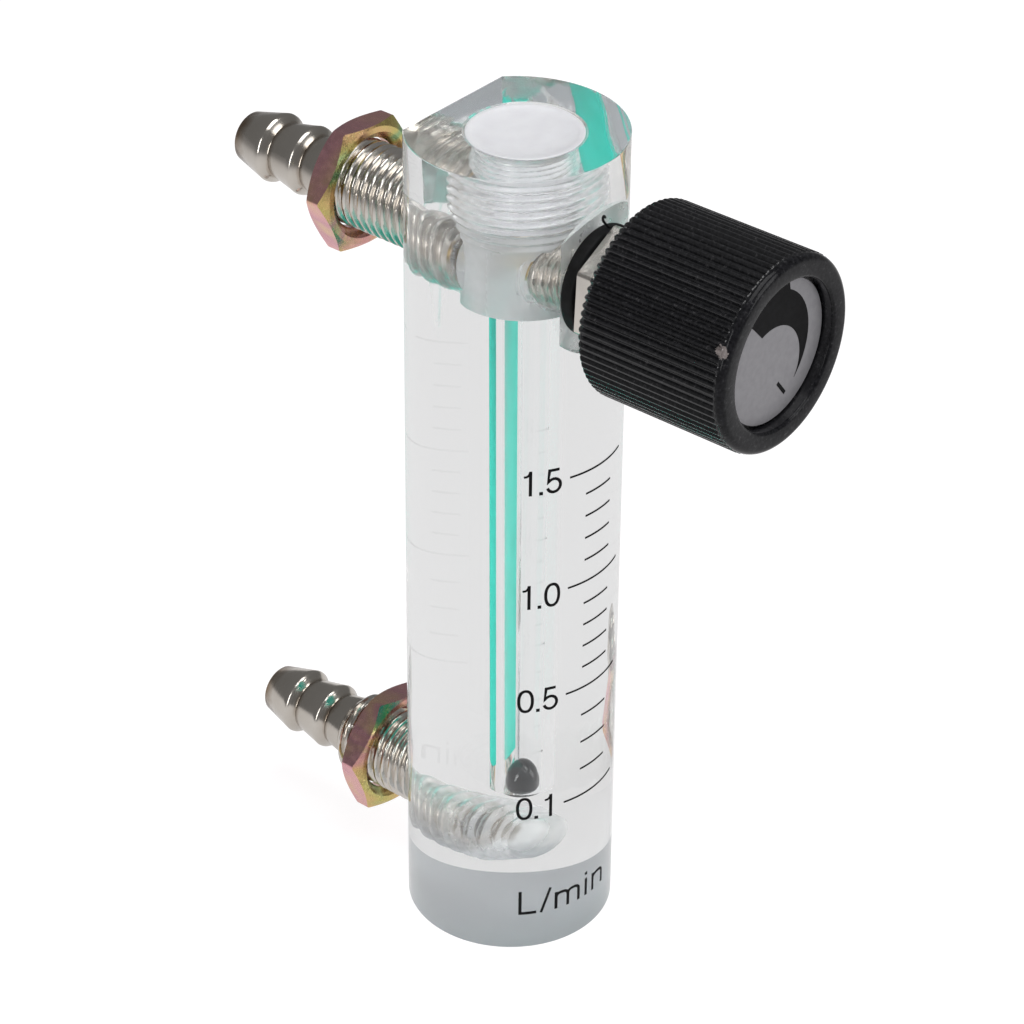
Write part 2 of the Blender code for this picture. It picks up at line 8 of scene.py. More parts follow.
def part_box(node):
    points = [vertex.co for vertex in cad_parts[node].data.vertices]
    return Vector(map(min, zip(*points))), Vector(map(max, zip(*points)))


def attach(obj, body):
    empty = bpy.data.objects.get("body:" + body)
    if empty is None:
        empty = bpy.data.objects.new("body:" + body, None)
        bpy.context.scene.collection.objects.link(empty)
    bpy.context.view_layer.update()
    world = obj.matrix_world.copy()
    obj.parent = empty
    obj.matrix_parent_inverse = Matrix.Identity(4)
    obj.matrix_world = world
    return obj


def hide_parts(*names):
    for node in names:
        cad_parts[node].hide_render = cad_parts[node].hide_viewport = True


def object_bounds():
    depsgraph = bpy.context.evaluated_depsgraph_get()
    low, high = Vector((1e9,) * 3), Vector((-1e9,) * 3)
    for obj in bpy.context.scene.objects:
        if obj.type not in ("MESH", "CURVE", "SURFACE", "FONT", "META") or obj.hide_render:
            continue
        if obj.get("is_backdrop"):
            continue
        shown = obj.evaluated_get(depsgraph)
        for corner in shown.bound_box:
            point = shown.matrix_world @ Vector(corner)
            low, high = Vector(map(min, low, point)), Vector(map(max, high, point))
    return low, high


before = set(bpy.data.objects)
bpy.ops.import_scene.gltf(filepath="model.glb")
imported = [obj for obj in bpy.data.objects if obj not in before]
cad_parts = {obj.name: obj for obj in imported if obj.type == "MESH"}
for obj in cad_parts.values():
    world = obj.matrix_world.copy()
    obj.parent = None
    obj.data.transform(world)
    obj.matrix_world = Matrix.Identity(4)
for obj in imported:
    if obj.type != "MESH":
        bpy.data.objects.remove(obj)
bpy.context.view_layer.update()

# Clear body
# A length of cast acrylic rod, milled flat down its back, drilled from the top and
# across, tapped for its screws and polished outside. Its foot is left sawn; its dark grey is
# painted shade.
BODY_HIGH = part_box("body")[1]
BODY_RADIUS = BODY_HIGH.x
BODY_TOP = BODY_HIGH.z
BACK_FLAT = BODY_HIGH.y
PLUG_LOW, PLUG_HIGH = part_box("top_plug")
BORE_AXIS = (PLUG_LOW.y + PLUG_HIGH.y) / 2
OUTLET_AXIS = sum(corner.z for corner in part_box("outlet_connector")) / 2
INLET_AXIS = sum(corner.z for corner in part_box("inlet_connector")) / 2
STRIP_LOW, STRIP_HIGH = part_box("back_strip")
GAP = 0.0003
IN_BORE = Matrix.Translation((0, BORE_AXIS, 0))


def in_scene(name, data):
    """Put an object with this data in the scene."""
    obj = bpy.data.objects.new(name, data)
    bpy.context.scene.collection.objects.link(obj)
    return obj


def turned(name, profile, sides, closed=False):
    """Turn a profile of (radius, height) points about Z; it runs down its outer side."""
    mesh = bpy.data.meshes.new(name)
    edges = [(i, i + 1) for i in range(len(profile) - 1)]
    if closed:
        edges.append((len(profile) - 1, 0))
    mesh.from_pydata([(r, 0, z) for r, z in profile], edges, [])
    obj = in_scene(name, mesh)
    screw = obj.modifiers.new("Turn", "SCREW")
    screw.steps = sides
    screw.render_steps = sides
    screw.use_merge_vertices = True
    screw.merge_threshold = 0.000002
    return obj


def finished(obj, place=None):
    """Turn an object's modifiers into a plain mesh, put in place, on a new object."""
    bpy.context.view_layer.update()
    made = obj.evaluated_get(bpy.context.evaluated_depsgraph_get())
    mesh = bpy.data.meshes.new_from_object(made)
    name = obj.name
    old = obj.data
    bpy.data.objects.remove(obj)
    if old.users == 0:
        bpy.data.meshes.remove(old)
    if place is not None:
        mesh.transform(place)
    mesh.name = name
    return in_scene(name, mesh)


def on_object(name, work):
    """Close mesh work into a mesh, and put it in the scene on an object."""
    mesh = bpy.data.meshes.new(name)
    work.to_mesh(mesh)
    work.free()
    return in_scene(name, mesh)


def laid_back(height):
    """Place of a piece turned about Z that lies along +Y at a height."""
    return Matrix.Translation((0, 0, height)) @ Matrix.Rotation(-math.pi / 2, 4, "X")


def laid_forward(height):
    """Place of a piece turned about Z that lies along -Y at a height."""
    return Matrix.Translation((0, 0, height)) @ Matrix.Rotation(math.pi / 2, 4, "X")


def shade(obj, angle=30):
    """Shade a piece smooth, with sharp edges past an angle."""
    obj.data.shade_smooth()
    obj.data.set_sharp_from_angle(angle=math.radians(angle))


def paint_faces(obj, mat, chosen):
    """Give a piece one more material, on the faces that a test chooses."""
    obj.data.materials.append(mat)
    last = len(obj.data.materials) - 1
    for face in obj.data.polygons:
        if chosen(face.center, face.normal):
            face.material_index = last


def calculate(tree, operation, *values):
    """Add a math node fed with sockets or numbers, and return its result."""
    node = tree.nodes.new("ShaderNodeMath")
    node.operation = operation
    for socket, value in zip(node.inputs, values):
        if isinstance(value, (int, float)):
            socket.default_value = value
        else:
            tree.links.new(value, socket)
    return node.outputs[0]


def hypotenuse(tree, first, second):
    """Return the length of the long side over two others."""
    first = calculate(tree, "MULTIPLY", first, first)
    second = calculate(tree, "MULTIPLY", second, second)
    return calculate(tree, "SQRT", calculate(tree, "ADD", first, second))


def node_tree(name, sizes):
    """Start a geometry tree with named sizes, and return it with its two end nodes."""
    tree = bpy.data.node_groups.new(name, "GeometryNodeTree")
    face = tree.interface
    face.new_socket("Geometry", in_out="INPUT", socket_type="NodeSocketGeometry")
    for label in sizes:
        face.new_socket(label, in_out="INPUT", socket_type="NodeSocketFloat")
    face.new_socket("Material", in_out="INPUT", socket_type="NodeSocketMaterial")
    face.new_socket("Geometry", in_out="OUTPUT", socket_type="NodeSocketGeometry")
    start = tree.nodes.new("NodeGroupInput")
    end = tree.nodes.new("NodeGroupOutput")
    return tree, start, end


def end_tree(tree, start, end, geometry):
    """Close a tree with Realize Instances and Set Material."""
    real = tree.nodes.new("GeometryNodeRealizeInstances")
    paint = tree.nodes.new("GeometryNodeSetMaterial")
    tree.links.new(geometry, real.inputs["Geometry"])
    tree.links.new(real.outputs["Geometry"], paint.inputs["Geometry"])
    tree.links.new(start.outputs["Material"], paint.inputs["Material"])
    tree.links.new(paint.outputs["Geometry"], end.inputs["Geometry"])


def moved_inward(tree, start, depth):
    """Move the points of a round blank towards its axis by a depth."""
    place = tree.nodes.new("GeometryNodeInputPosition")
    split = tree.nodes.new("ShaderNodeSeparateXYZ")
    flat = tree.nodes.new("ShaderNodeCombineXYZ")
    unit = tree.nodes.new("ShaderNodeVectorMath")
    unit.operation = "NORMALIZE"
    push = tree.nodes.new("ShaderNodeVectorMath")
    push.operation = "SCALE"
    move = tree.nodes.new("GeometryNodeSetPosition")
    tree.links.new(place.outputs[0], split.inputs[0])
    tree.links.new(split.outputs["X"], flat.inputs["X"])
    tree.links.new(split.outputs["Y"], flat.inputs["Y"])
    tree.links.new(flat.outputs[0], unit.inputs[0])
    tree.links.new(unit.outputs[0], push.inputs[0])
    tree.links.new(calculate(tree, "MULTIPLY", depth, -1), push.inputs["Scale"])
    tree.links.new(start.outputs["Geometry"], move.inputs["Geometry"])
    tree.links.new(push.outputs[0], move.inputs["Offset"])
    return move.outputs["Geometry"]


def around_axis(tree):
    """Return the radius, height and share of a turn of each point of a blank."""
    place = tree.nodes.new("GeometryNodeInputPosition")
    split = tree.nodes.new("ShaderNodeSeparateXYZ")
    tree.links.new(place.outputs[0], split.inputs[0])
    x, y, z = split.outputs["X"], split.outputs["Y"], split.outputs["Z"]
    turn = calculate(tree, "DIVIDE", calculate(tree, "ARCTAN2", y, x), 2 * math.pi)
    return hypotenuse(tree, x, y), z, turn


def cutter_tree(name, spacing, land):
    """A tree that cuts rounded V grooves into the outer wall of a turned blank.

    A spacing called Pitch makes them one thread, and one called Count makes them run
    along the blank. land is the share of their spacing that stays uncut at the crest.
    """
    sizes = ("Low end", "High end", spacing, "Depth", "Run-out", "Root radius")
    tree, start, end = node_tree(name, sizes)
    radius, height, turn = around_axis(tree)
    size = start.outputs
    if spacing == "Pitch":
        turns = calculate(tree, "DIVIDE", height, size["Pitch"])
        turns = calculate(tree, "SUBTRACT", turns, turn)
    else:
        turns = calculate(tree, "MULTIPLY", turn, size[spacing])
    phase = calculate(tree, "FRACT", turns)
    wave = calculate(tree, "SUBTRACT", calculate(tree, "MULTIPLY", phase, 2), 1)
    wave = calculate(tree, "ABSOLUTE", wave)
    groove = tree.nodes.new("ShaderNodeMapRange")
    groove.interpolation_type = "SMOOTHSTEP"
    groove.inputs["From Min"].default_value = land
    groove.inputs["From Max"].default_value = 0.92
    tree.links.new(wave, groove.inputs["Value"])
    from_low = calculate(tree, "SUBTRACT", height, size["Low end"])
    from_high = calculate(tree, "SUBTRACT", size["High end"], height)
    near = calculate(tree, "MINIMUM", from_low, from_high)
    ends = calculate(tree, "DIVIDE", near, size["Run-out"])
    ends = calculate(tree, "MINIMUM", calculate(tree, "MAXIMUM", ends, 0), 1)
    outer = calculate(tree, "GREATER_THAN", radius, size["Root radius"])
    depth = calculate(tree, "MULTIPLY", groove.outputs["Result"], size["Depth"])
    depth = calculate(tree, "MULTIPLY", calculate(tree, "MULTIPLY", depth, ends), outer)
    end_tree(tree, start, end, moved_inward(tree, start, depth))
    return tree


def with_tree(obj, tree, sizes, material):
    """Put a geometry tree on an object, with its sizes set by their sockets."""
    step = obj.modifiers.new(tree.name, "NODES")
    step.node_group = tree
    for item in tree.interface.items_tree:
        if item.in_out == "INPUT" and item.name in sizes:
            step[item.identifier] = sizes[item.name]
        if item.in_out == "INPUT" and item.name == "Material":
            step[item.identifier] = material
    return obj


THREAD_TREE = cutter_tree("Cut a thread", "Pitch", 0.12)


def threaded(name, profile, thread, material, place, sides=144, closed=False):
    """Turn a blank, cut its thread and put it in place. thread holds the tree's sizes."""
    obj = turned(name, profile, sides, closed)
    with_tree(obj, THREAD_TREE, thread, material)
    return finished(obj, place)


def thread_sizes(low, high, pitch, depth, root, fade=1.5):
    """Sizes of a thread for its tree. It fades over some turns at both ends."""
    return {
        "Low end": low,
        "High end": high,
        "Pitch": pitch,
        "Depth": depth,
        "Run-out": fade * pitch,
        "Root radius": root,
    }


def steps(low_radius, low, high_radius, high, rise):
    """Points of a straight side from high to low, close enough together for a thread."""
    count = max(1, round((high - low) / rise))
    return [
        (
            high_radius + (low_radius - high_radius) * i / count,
            high + (low - high) * i / count,
        )
        for i in range(count + 1)
    ]


def shader_material(name):
    """Start a node material, and return it with its tree and its shader."""
    mat = bpy.data.materials.new(name)
    mat.use_nodes = True
    return mat, mat.node_tree, mat.node_tree.nodes["Principled BSDF"]


def object_point(tree, scale=(1, 1, 1), place=(0, 0, 0)):
    """Return the object coordinates through a Mapping node."""
    coordinates = tree.nodes.new("ShaderNodeTexCoord")
    mapping = tree.nodes.new("ShaderNodeMapping")
    mapping.inputs["Scale"].default_value = scale
    mapping.inputs["Location"].default_value = place
    tree.links.new(coordinates.outputs["Object"], mapping.inputs["Vector"])
    return mapping.outputs["Vector"]


def noise(tree, scale, detail=3.0, stretch=(1, 1, 1)):
    """Return a noise value on object coordinates; scale is in marks per metre."""
    texture = tree.nodes.new("ShaderNodeTexNoise")
    texture.inputs["Scale"].default_value = scale
    texture.inputs["Detail"].default_value = detail
    tree.links.new(object_point(tree, stretch), texture.inputs["Vector"])
    return texture.outputs[0]


def ramp(tree, value, *stops):
    """Return a colour ramp of (place, grey or colour) stops fed by a value."""
    node = tree.nodes.new("ShaderNodeValToRGB")
    elements = node.color_ramp.elements
    while len(elements) < len(stops):
        elements.new(0.5)
    for element, (place, colour) in zip(elements, stops):
        element.position = place
        element.color = (*([colour] * 3 if isinstance(colour, float) else colour), 1)
    tree.links.new(value, node.inputs[0])
    return node.outputs["Color"]


def bump(tree, shader, height, distance, strength=1.0):
    """Feed a height in shares of a distance into a shader's normal."""
    node = tree.nodes.new("ShaderNodeBump")
    node.inputs["Strength"].default_value = strength
    node.inputs["Distance"].default_value = distance
    tree.links.new(height, node.inputs["Height"])
    tree.links.new(node.outputs["Normal"], shader.inputs["Normal"])


def coated(name, grain, tones, values, grit=None):
    """A material whose tone drifts with one noise and whose face is raised by another.

    grain is the first noise's scale and detail, values are the shader's plain inputs, and
    grit is the second noise's scale, detail and height.
    """
    mat, tree, shader = shader_material(name)
    tree.links.new(ramp(tree, noise(tree, *grain), *tones), shader.inputs["Base Color"])
    for label, value in values.items():
        shader.inputs[label].default_value = value
    if grit:
        bump(tree, shader, noise(tree, *grit[:2]), grit[2])
    return mat


def blended(tree, first, second, share):
    """Mix two shaders; share is a number or a socket."""
    mix = tree.nodes.new("ShaderNodeMixShader")
    if isinstance(share, float):
        mix.inputs[0].default_value = share
    else:
        tree.links.new(share, mix.inputs[0])
    tree.links.new(first, mix.inputs[1])
    tree.links.new(second, mix.inputs[2])
    return mix.outputs[0]


def see_through(tree, level):
    """A plain see-through shader of a grey level."""
    node = tree.nodes.new("ShaderNodeBsdfTransparent")
    node.inputs["Color"].default_value = (level, level, level, 1)
    return node.outputs[0]


MILK = (0.86, 0.87, 0.88)


def clear_plastic(name, rough, grain, tint, shadow, cloud=0.0, milk=MILK, contact=0.0):
    """Acrylic with an uneven roughness, and shadows that let light through.

    cloud is the share of its surface that is milky, and contact the share that lies
    against a screw, so that the metal shows straight through.
    """
    mat, tree, shader = shader_material(name)
    shader.inputs["Base Color"].default_value = (*tint, 1)
    shader.inputs["Transmission Weight"].default_value = 1.0
    shader.inputs["IOR"].default_value = 1.49
    marks = noise(tree, grain, 4)
    tree.links.new(
        ramp(tree, marks, (0.35, float(rough[0])), (0.75, float(rough[1]))),
        shader.inputs["Roughness"],
    )
    surface = shader.outputs[0]
    if cloud:
        bump(tree, shader, noise(tree, grain * 6, 2), 0.00001)
        haze = tree.nodes.new("ShaderNodeBsdfDiffuse")
        haze.inputs["Color"].default_value = (*milk, 1)
        share = ramp(tree, marks, (0.3, cloud * 0.75), (0.75, min(1.0, cloud * 1.3)))
        surface = blended(tree, surface, haze.outputs[0], share)
    if contact:
        surface = blended(tree, surface, see_through(tree, 1.0), contact)
    path = tree.nodes.new("ShaderNodeLightPath")
    surface = blended(tree, surface, see_through(tree, shadow), path.outputs["Is Shadow Ray"])
    tree.links.new(surface, tree.nodes["Material Output"].inputs["Surface"])
    return mat


CLEAR = (0.985, 0.995, 0.995)
ACRYLIC = clear_plastic("acrylic_polished", (0.0, 0.03), 90, CLEAR, 0.92)
ACRYLIC_TOP = clear_plastic("acrylic_faced_end", (0.03, 0.09), 500, (0.95, 0.975, 0.97), 0.9, 0.02)
ACRYLIC_MILLED = clear_plastic("acrylic_milled", (0.02, 0.07), 500, CLEAR, 0.9)
ACRYLIC_TAPPED = clear_plastic(
    "acrylic_tapped", (0.10, 0.22), 900, (0.96, 0.965, 0.965), 0.85, 0.24, contact=0.10
)
ACRYLIC_PORT = clear_plastic(
    "acrylic_port", (0.12, 0.28), 900, (0.96, 0.96, 0.95), 0.85, 0.22, contact=0.60
)
ACRYLIC_LOW_PORT = clear_plastic(
    "acrylic_low_port", (0.15, 0.32), 900, (0.94, 0.96, 0.96), 0.85, 0.36, contact=0.35
)
ACRYLIC_VALVE_PORT = clear_plastic(
    "acrylic_valve_port", (0.12, 0.28), 900, (0.96, 0.96, 0.95), 0.85, 0.12, contact=0.75
)
ACRYLIC_DRILLED = clear_plastic(
    "acrylic_drilled", (0.45, 0.60), 300, (0.93, 0.94, 0.95), 0.8, 0.58, (0.68, 0.70, 0.71)
)
ACRYLIC_BLIND = clear_plastic(
    "acrylic_blind_end", (0.30, 0.40), 300, (0.96, 0.965, 0.965), 0.85, 0.26, (0.76, 0.78, 0.78)
)
ACRYLIC_THROAT = clear_plastic("acrylic_throat", (0.02, 0.06), 1400, (0.96, 0.97, 0.97), 0.85, 0.06)
ACRYLIC_SPOT = clear_plastic(
    "acrylic_spot_face", (0.25, 0.45), 900, (0.90, 0.93, 0.92), 0.8, 0.55, (0.62, 0.66, 0.65)
)
# The sawn foot's dark grey tint and milk are painted shade, where the foot stands on the floor.
ACRYLIC_SAWN_SHADED = clear_plastic(
    "acrylic_sawn_shaded", (0.5, 0.75), 12, (0.60, 0.62, 0.65), 0.7, 0.7, (0.36, 0.375, 0.40)
)
TEAL = coated(
    "teal_ink",
    (260, 3),
    ((0.3, (0.025, 0.72, 0.57)), (0.7, (0.04, 0.80, 0.65))),
    {"Roughness": 0.45},
    (4000, 2, 0.00001),
)

# The rod: an arc closed by the flat, drawn up, with a hair of a bevel round each end
ROD_SIDES = 240
EDGE = 0.00012
half_flat = math.acos(BACK_FLAT / BODY_RADIUS)
first = math.pi / 2 + half_flat
sweep = 2 * math.pi - 2 * half_flat
rod = bmesh.new()
rim = [
    rod.verts.new(
        (
            BODY_RADIUS * math.cos(first + sweep * i / ROD_SIDES),
            BODY_RADIUS * math.sin(first + sweep * i / ROD_SIDES),
            0,
        )
    )
    for i in range(ROD_SIDES + 1)
]
foot = rod.faces.new(rim)
foot.normal_update()
if foot.normal.z > 0:
    foot.normal_flip()
drawn = bmesh.ops.extrude_face_region(rod, geom=[foot])
lifted = [v for v in drawn["geom"] if isinstance(v, bmesh.types.BMVert)]
bmesh.ops.translate(rod, verts=lifted, vec=(0, 0, BODY_TOP))
if not [f for f in rod.faces if len(f.verts) > 4 and f.calc_center_median().z < EDGE]:
    rod.faces.new(rim)
bmesh.ops.recalc_face_normals(rod, faces=rod.faces)
ends = [e for e in rod.edges if abs(e.verts[0].co.z - e.verts[1].co.z) < EDGE]
bmesh.ops.bevel(rod, geom=ends, offset=EDGE, segments=2, profile=0.5, affect="EDGES")
for place, way in (
    ((STRIP_LOW.x, 0, 0), (1, 0, 0)),
    ((STRIP_HIGH.x, 0, 0), (1, 0, 0)),
    ((0, 0, STRIP_LOW.z), (0, 0, 1)),
    ((0, 0, STRIP_HIGH.z), (0, 0, 1)),
):
    back = [f for f in rod.faces if f.calc_center_median().y > BACK_FLAT - EDGE]
    around = list({e for f in back for e in f.edges})
    bmesh.ops.bisect_plane(rod, geom=back + around, plane_co=place, plane_no=way, dist=1e-7)
rod_materials = (ACRYLIC, TEAL, ACRYLIC_SAWN_SHADED, ACRYLIC_MILLED, ACRYLIC_TOP)
for f in rod.faces:
    middle = f.calc_center_median()
    under_strip = abs(middle.x) < STRIP_HIGH.x and STRIP_LOW.z < middle.z < STRIP_HIGH.z
    mat = ACRYLIC
    if middle.y > BACK_FLAT - EDGE / 4:
        mat = TEAL if under_strip else ACRYLIC_MILLED
    # The foot's faces take the grey acrylic that carries the painted shade.
    if middle.z < EDGE / 4:
        mat = ACRYLIC_SAWN_SHADED
    if middle.z > BODY_TOP - EDGE / 4:
        mat = ACRYLIC_TOP
    f.material_index = rod_materials.index(mat)
body = on_object("clear_body", rod)
for mat in rod_materials:
    body.data.materials.append(mat)


def cut_out(target, tool):
    """Cut a tool out of a target for good; the cut takes the tool's material."""
    step = target.modifiers.new(tool.name, "BOOLEAN")
    step.operation = "DIFFERENCE"
    step.solver = "EXACT"
    step.material_mode = "TRANSFER"
    step.object = tool
    result = finished(target)
    bpy.data.objects.remove(tool)
    return result


# The vertical bore: countersunk and tapped mouth, drilled chamber, tapered tube, throat
MOUTH_RADIUS = PLUG_HIGH.x + GAP
TAP_RADIUS = 0.0056
TAP_PITCH = 0.00106
TAP_DEPTH = 0.0005
CHAMBER_RADIUS = 0.0046
TUBE_TOP_RADIUS = 0.00265
TUBE_FOOT_RADIUS = 0.0023
THROAT_RADIUS = 0.0018
SEAT_HIGH = 0.0182
SEAT_LOW = 0.0176
STOP_LOW, STOP_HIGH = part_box("float_stop")
OVER = 0.004
tapped_low = 0.0898
tapped_lead = 0.0934
THREAD_HIGH = 0.0984
tapped_high = BODY_TOP - (MOUTH_RADIUS - TAP_RADIUS)
row = TAP_PITCH / 10
mouth = threaded(
    "mouth_bore",
    [(0, BODY_TOP + OVER), (MOUTH_RADIUS, BODY_TOP + OVER), (MOUTH_RADIUS, BODY_TOP)]
    + steps(TAP_RADIUS, tapped_lead, TAP_RADIUS, tapped_high, row)
    + steps(CHAMBER_RADIUS, tapped_low, TAP_RADIUS, tapped_lead, row)[1:]
    + [(CHAMBER_RADIUS, tapped_low - 3 * GAP), (0, tapped_low - 3 * GAP)],
    thread_sizes(tapped_low, THREAD_HIGH, TAP_PITCH, TAP_DEPTH, CHAMBER_RADIUS + GAP / 4, 1.2),
    ACRYLIC_TAPPED,
    IN_BORE,
)
bore_parts = (
    (
        "chamber_bore",
        [
            (0, tapped_low - GAP),
            (CHAMBER_RADIUS, tapped_low - GAP),
            (CHAMBER_RADIUS, STOP_HIGH.z),
            (0, STOP_HIGH.z),
        ],
        ACRYLIC_DRILLED,
    ),
    (
        "tube_bore",
        [
            (0, STOP_HIGH.z + GAP),
            (TUBE_TOP_RADIUS, STOP_HIGH.z + GAP),
            (TUBE_FOOT_RADIUS, SEAT_HIGH),
            (0, SEAT_HIGH),
        ],
        ACRYLIC,
    ),
    (
        "throat_bore",
        [
            (0, SEAT_HIGH + GAP),
            (TUBE_FOOT_RADIUS + GAP / 8, SEAT_HIGH + GAP / 20),
            (THROAT_RADIUS, SEAT_LOW),
            (THROAT_RADIUS, INLET_AXIS),
            (0, INLET_AXIS),
        ],
        ACRYLIC_THROAT,
    ),
)
paint_faces(mouth, ACRYLIC_DRILLED, lambda place, way: place.z < PLUG_LOW.z)
body = cut_out(body, mouth)
for name, profile, mat in bore_parts:
    tool = finished(turned(name, profile, 96), IN_BORE)
    tool.data.materials.append(mat)
    body = cut_out(body, tool)

# Tapped ports for the two connectors and the valve
ROOT_RADIUS = 0.0042
PORT_RADIUS = ROOT_RADIUS + GAP / 3
PORT_PITCH = 0.00113
PORT_ROW = PORT_PITCH / 10
PORT_DEPTH = 0.00055
BLIND_RADIUS = 0.0030
BLIND_DEPTH = 0.0018
VALVE_RADIUS = 0.0043
VALVE_PITCH = 0.001
VALVE_ROW = VALVE_PITCH / 10
VALVE_DEPTH = 0.0005
SPOT_RADIUS = 0.0086
SPOT_FACE = -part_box("valve_washer")[1].y - GAP
BONNET_LOW, BONNET_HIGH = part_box("valve_bonnet")
port_root = PORT_RADIUS - 2 * PORT_DEPTH
inlet_tapped = -0.0022
inlet_narrows = 0.0010
outlet_tapped = 0.0022
valve_tapped = 0.0034
inlet = threaded(
    "inlet_port",
    [(0, BACK_FLAT + OVER)]
    + steps(PORT_RADIUS, inlet_narrows, PORT_RADIUS, BACK_FLAT + OVER, PORT_ROW)
    + steps(BLIND_RADIUS, inlet_tapped, PORT_RADIUS, inlet_narrows, PORT_ROW)[1:]
    + [
        (
            BLIND_RADIUS * math.cos(math.radians(turn)),
            inlet_tapped - BLIND_DEPTH * math.sin(math.radians(turn)),
        )
        for turn in (15, 30, 45, 60, 75)
    ]
    + [(0, inlet_tapped - BLIND_DEPTH)],
    thread_sizes(inlet_tapped, BACK_FLAT + 2 * OVER, PORT_PITCH, PORT_DEPTH, port_root),
    ACRYLIC_LOW_PORT,
    laid_back(INLET_AXIS),
)
outlet = threaded(
    "outlet_port",
    [(0, BACK_FLAT + OVER)]
    + steps(PORT_RADIUS, outlet_tapped, PORT_RADIUS, BACK_FLAT + OVER, PORT_ROW)
    + [(0, 0.0002)],
    thread_sizes(outlet_tapped, BACK_FLAT + 2 * OVER, PORT_PITCH, PORT_DEPTH, port_root),
    ACRYLIC_PORT,
    laid_back(OUTLET_AXIS),
)
valve = threaded(
    "valve_port",
    [(0, BODY_RADIUS + OVER), (SPOT_RADIUS, BODY_RADIUS + OVER), (SPOT_RADIUS, SPOT_FACE)]
    + steps(VALVE_RADIUS, valve_tapped, VALVE_RADIUS, SPOT_FACE, VALVE_ROW)
    + [(0, 0.0014)],
    thread_sizes(
        valve_tapped, SPOT_FACE + OVER, VALVE_PITCH, VALVE_DEPTH, VALVE_RADIUS - 2 * VALVE_DEPTH
    ),
    ACRYLIC_VALVE_PORT,
    laid_forward(OUTLET_AXIS),
)
valve_filled = BONNET_HIGH.y - GAP
paint_faces(valve, ACRYLIC_SPOT, lambda place, way: place.y < -SPOT_FACE + GAP / 10)
paint_faces(inlet, ACRYLIC_BLIND, lambda place, way: place.y < inlet_tapped)
paint_faces(outlet, ACRYLIC_DRILLED, lambda place, way: place.y < outlet_tapped)
paint_faces(valve, ACRYLIC_DRILLED, lambda place, way: place.y > valve_filled)
for tool in (inlet, outlet, valve):
    body = cut_out(body, tool)
shade(body, 32)


def round_normals(mesh, radius):
    """Give the rod's round wall its true normals, whatever the cuts left of its faces."""
    normals = [Vector(corner.vector) for corner in mesh.corner_normals]
    for face in mesh.polygons:
        corners = [mesh.vertices[v].co for v in face.vertices]
        if abs(face.normal.z) < 0.01 and all(
            abs(math.hypot(c.x, c.y) - radius) < 0.000004 for c in corners
        ):
            for loop, corner in zip(face.loop_indices, corners):
                normals[loop] = Vector((corner.x, corner.y, 0)).normalized()
    mesh.normals_split_custom_set(normals)


round_normals(body.data, BODY_RADIUS)
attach(body, "meter")
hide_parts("body")

# Top plug
# A white nylon screw with a countersunk head, turned with a shallow dish in its face
# and screwed flush into the mouth of the body.
PLUG_RADIUS = 0.0053
PLUG_FOOT_RADIUS = 0.0049
PLUG_TIP_RADIUS = 0.0047
PLUG_ROOT = 0.0045
DISH_RADIUS = 0.0057
DISH_DEPTH = 0.00035
NYLON = coated(
    "white_nylon",
    (500, 3),
    ((0.3, (0.70, 0.70, 0.73)), (0.7, (0.75, 0.755, 0.78))),
    {
        "Subsurface Weight": 0.35,
        "Subsurface Radius": (1.0, 0.95, 0.9),
        "Subsurface Scale": 0.0015,
        "Roughness": 0.38,
    },
    (3000, 2, 0.000012),
)
neck = BODY_TOP - (PLUG_HIGH.x - PLUG_RADIUS)
plug = threaded(
    "top_plug_screw",
    [
        (0, PLUG_HIGH.z - DISH_DEPTH),
        (DISH_RADIUS * 0.55, PLUG_HIGH.z - DISH_DEPTH),
        (DISH_RADIUS * 0.86, PLUG_HIGH.z - DISH_DEPTH * 0.8),
        (DISH_RADIUS * 0.96, PLUG_HIGH.z - DISH_DEPTH * 0.35),
        (DISH_RADIUS, PLUG_HIGH.z - 0.00004),
        (DISH_RADIUS + 0.00008, PLUG_HIGH.z),
        (PLUG_HIGH.x - 0.00008, PLUG_HIGH.z),
        (PLUG_HIGH.x, PLUG_HIGH.z - 0.00008),
    ]
    + steps(PLUG_RADIUS, tapped_lead, PLUG_RADIUS, neck, row)
    + steps(PLUG_FOOT_RADIUS, PLUG_LOW.z + 0.0002, PLUG_RADIUS, tapped_lead, row)[1:]
    + [(PLUG_TIP_RADIUS, PLUG_LOW.z), (0, PLUG_LOW.z)],
    thread_sizes(tapped_low, THREAD_HIGH, TAP_PITCH, TAP_DEPTH, PLUG_ROOT, 1.2),
    NYLON,
    IN_BORE,
)
shade(plug, 40)
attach(plug, "meter")
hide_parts("top_plug")

# Float stop
# A small nylon ring pressed into the tube's top, so that the ball stays in its tube.
stop_hole = 0.0013
stop = finished(
    turned(
        "float_stop_ring",
        [
            (STOP_HIGH.x - 0.0002, STOP_HIGH.z),
            (STOP_HIGH.x, STOP_HIGH.z - 0.0002),
            (STOP_HIGH.x, STOP_LOW.z),
            (stop_hole, STOP_LOW.z),
            (stop_hole, STOP_HIGH.z - 0.0003),
            (stop_hole + 0.0003, STOP_HIGH.z),
        ],
        64,
        closed=True,
    ),
    IN_BORE,
)
stop.data.materials.append(NYLON)
shade(stop)
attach(stop, "meter")
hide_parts("float_stop")

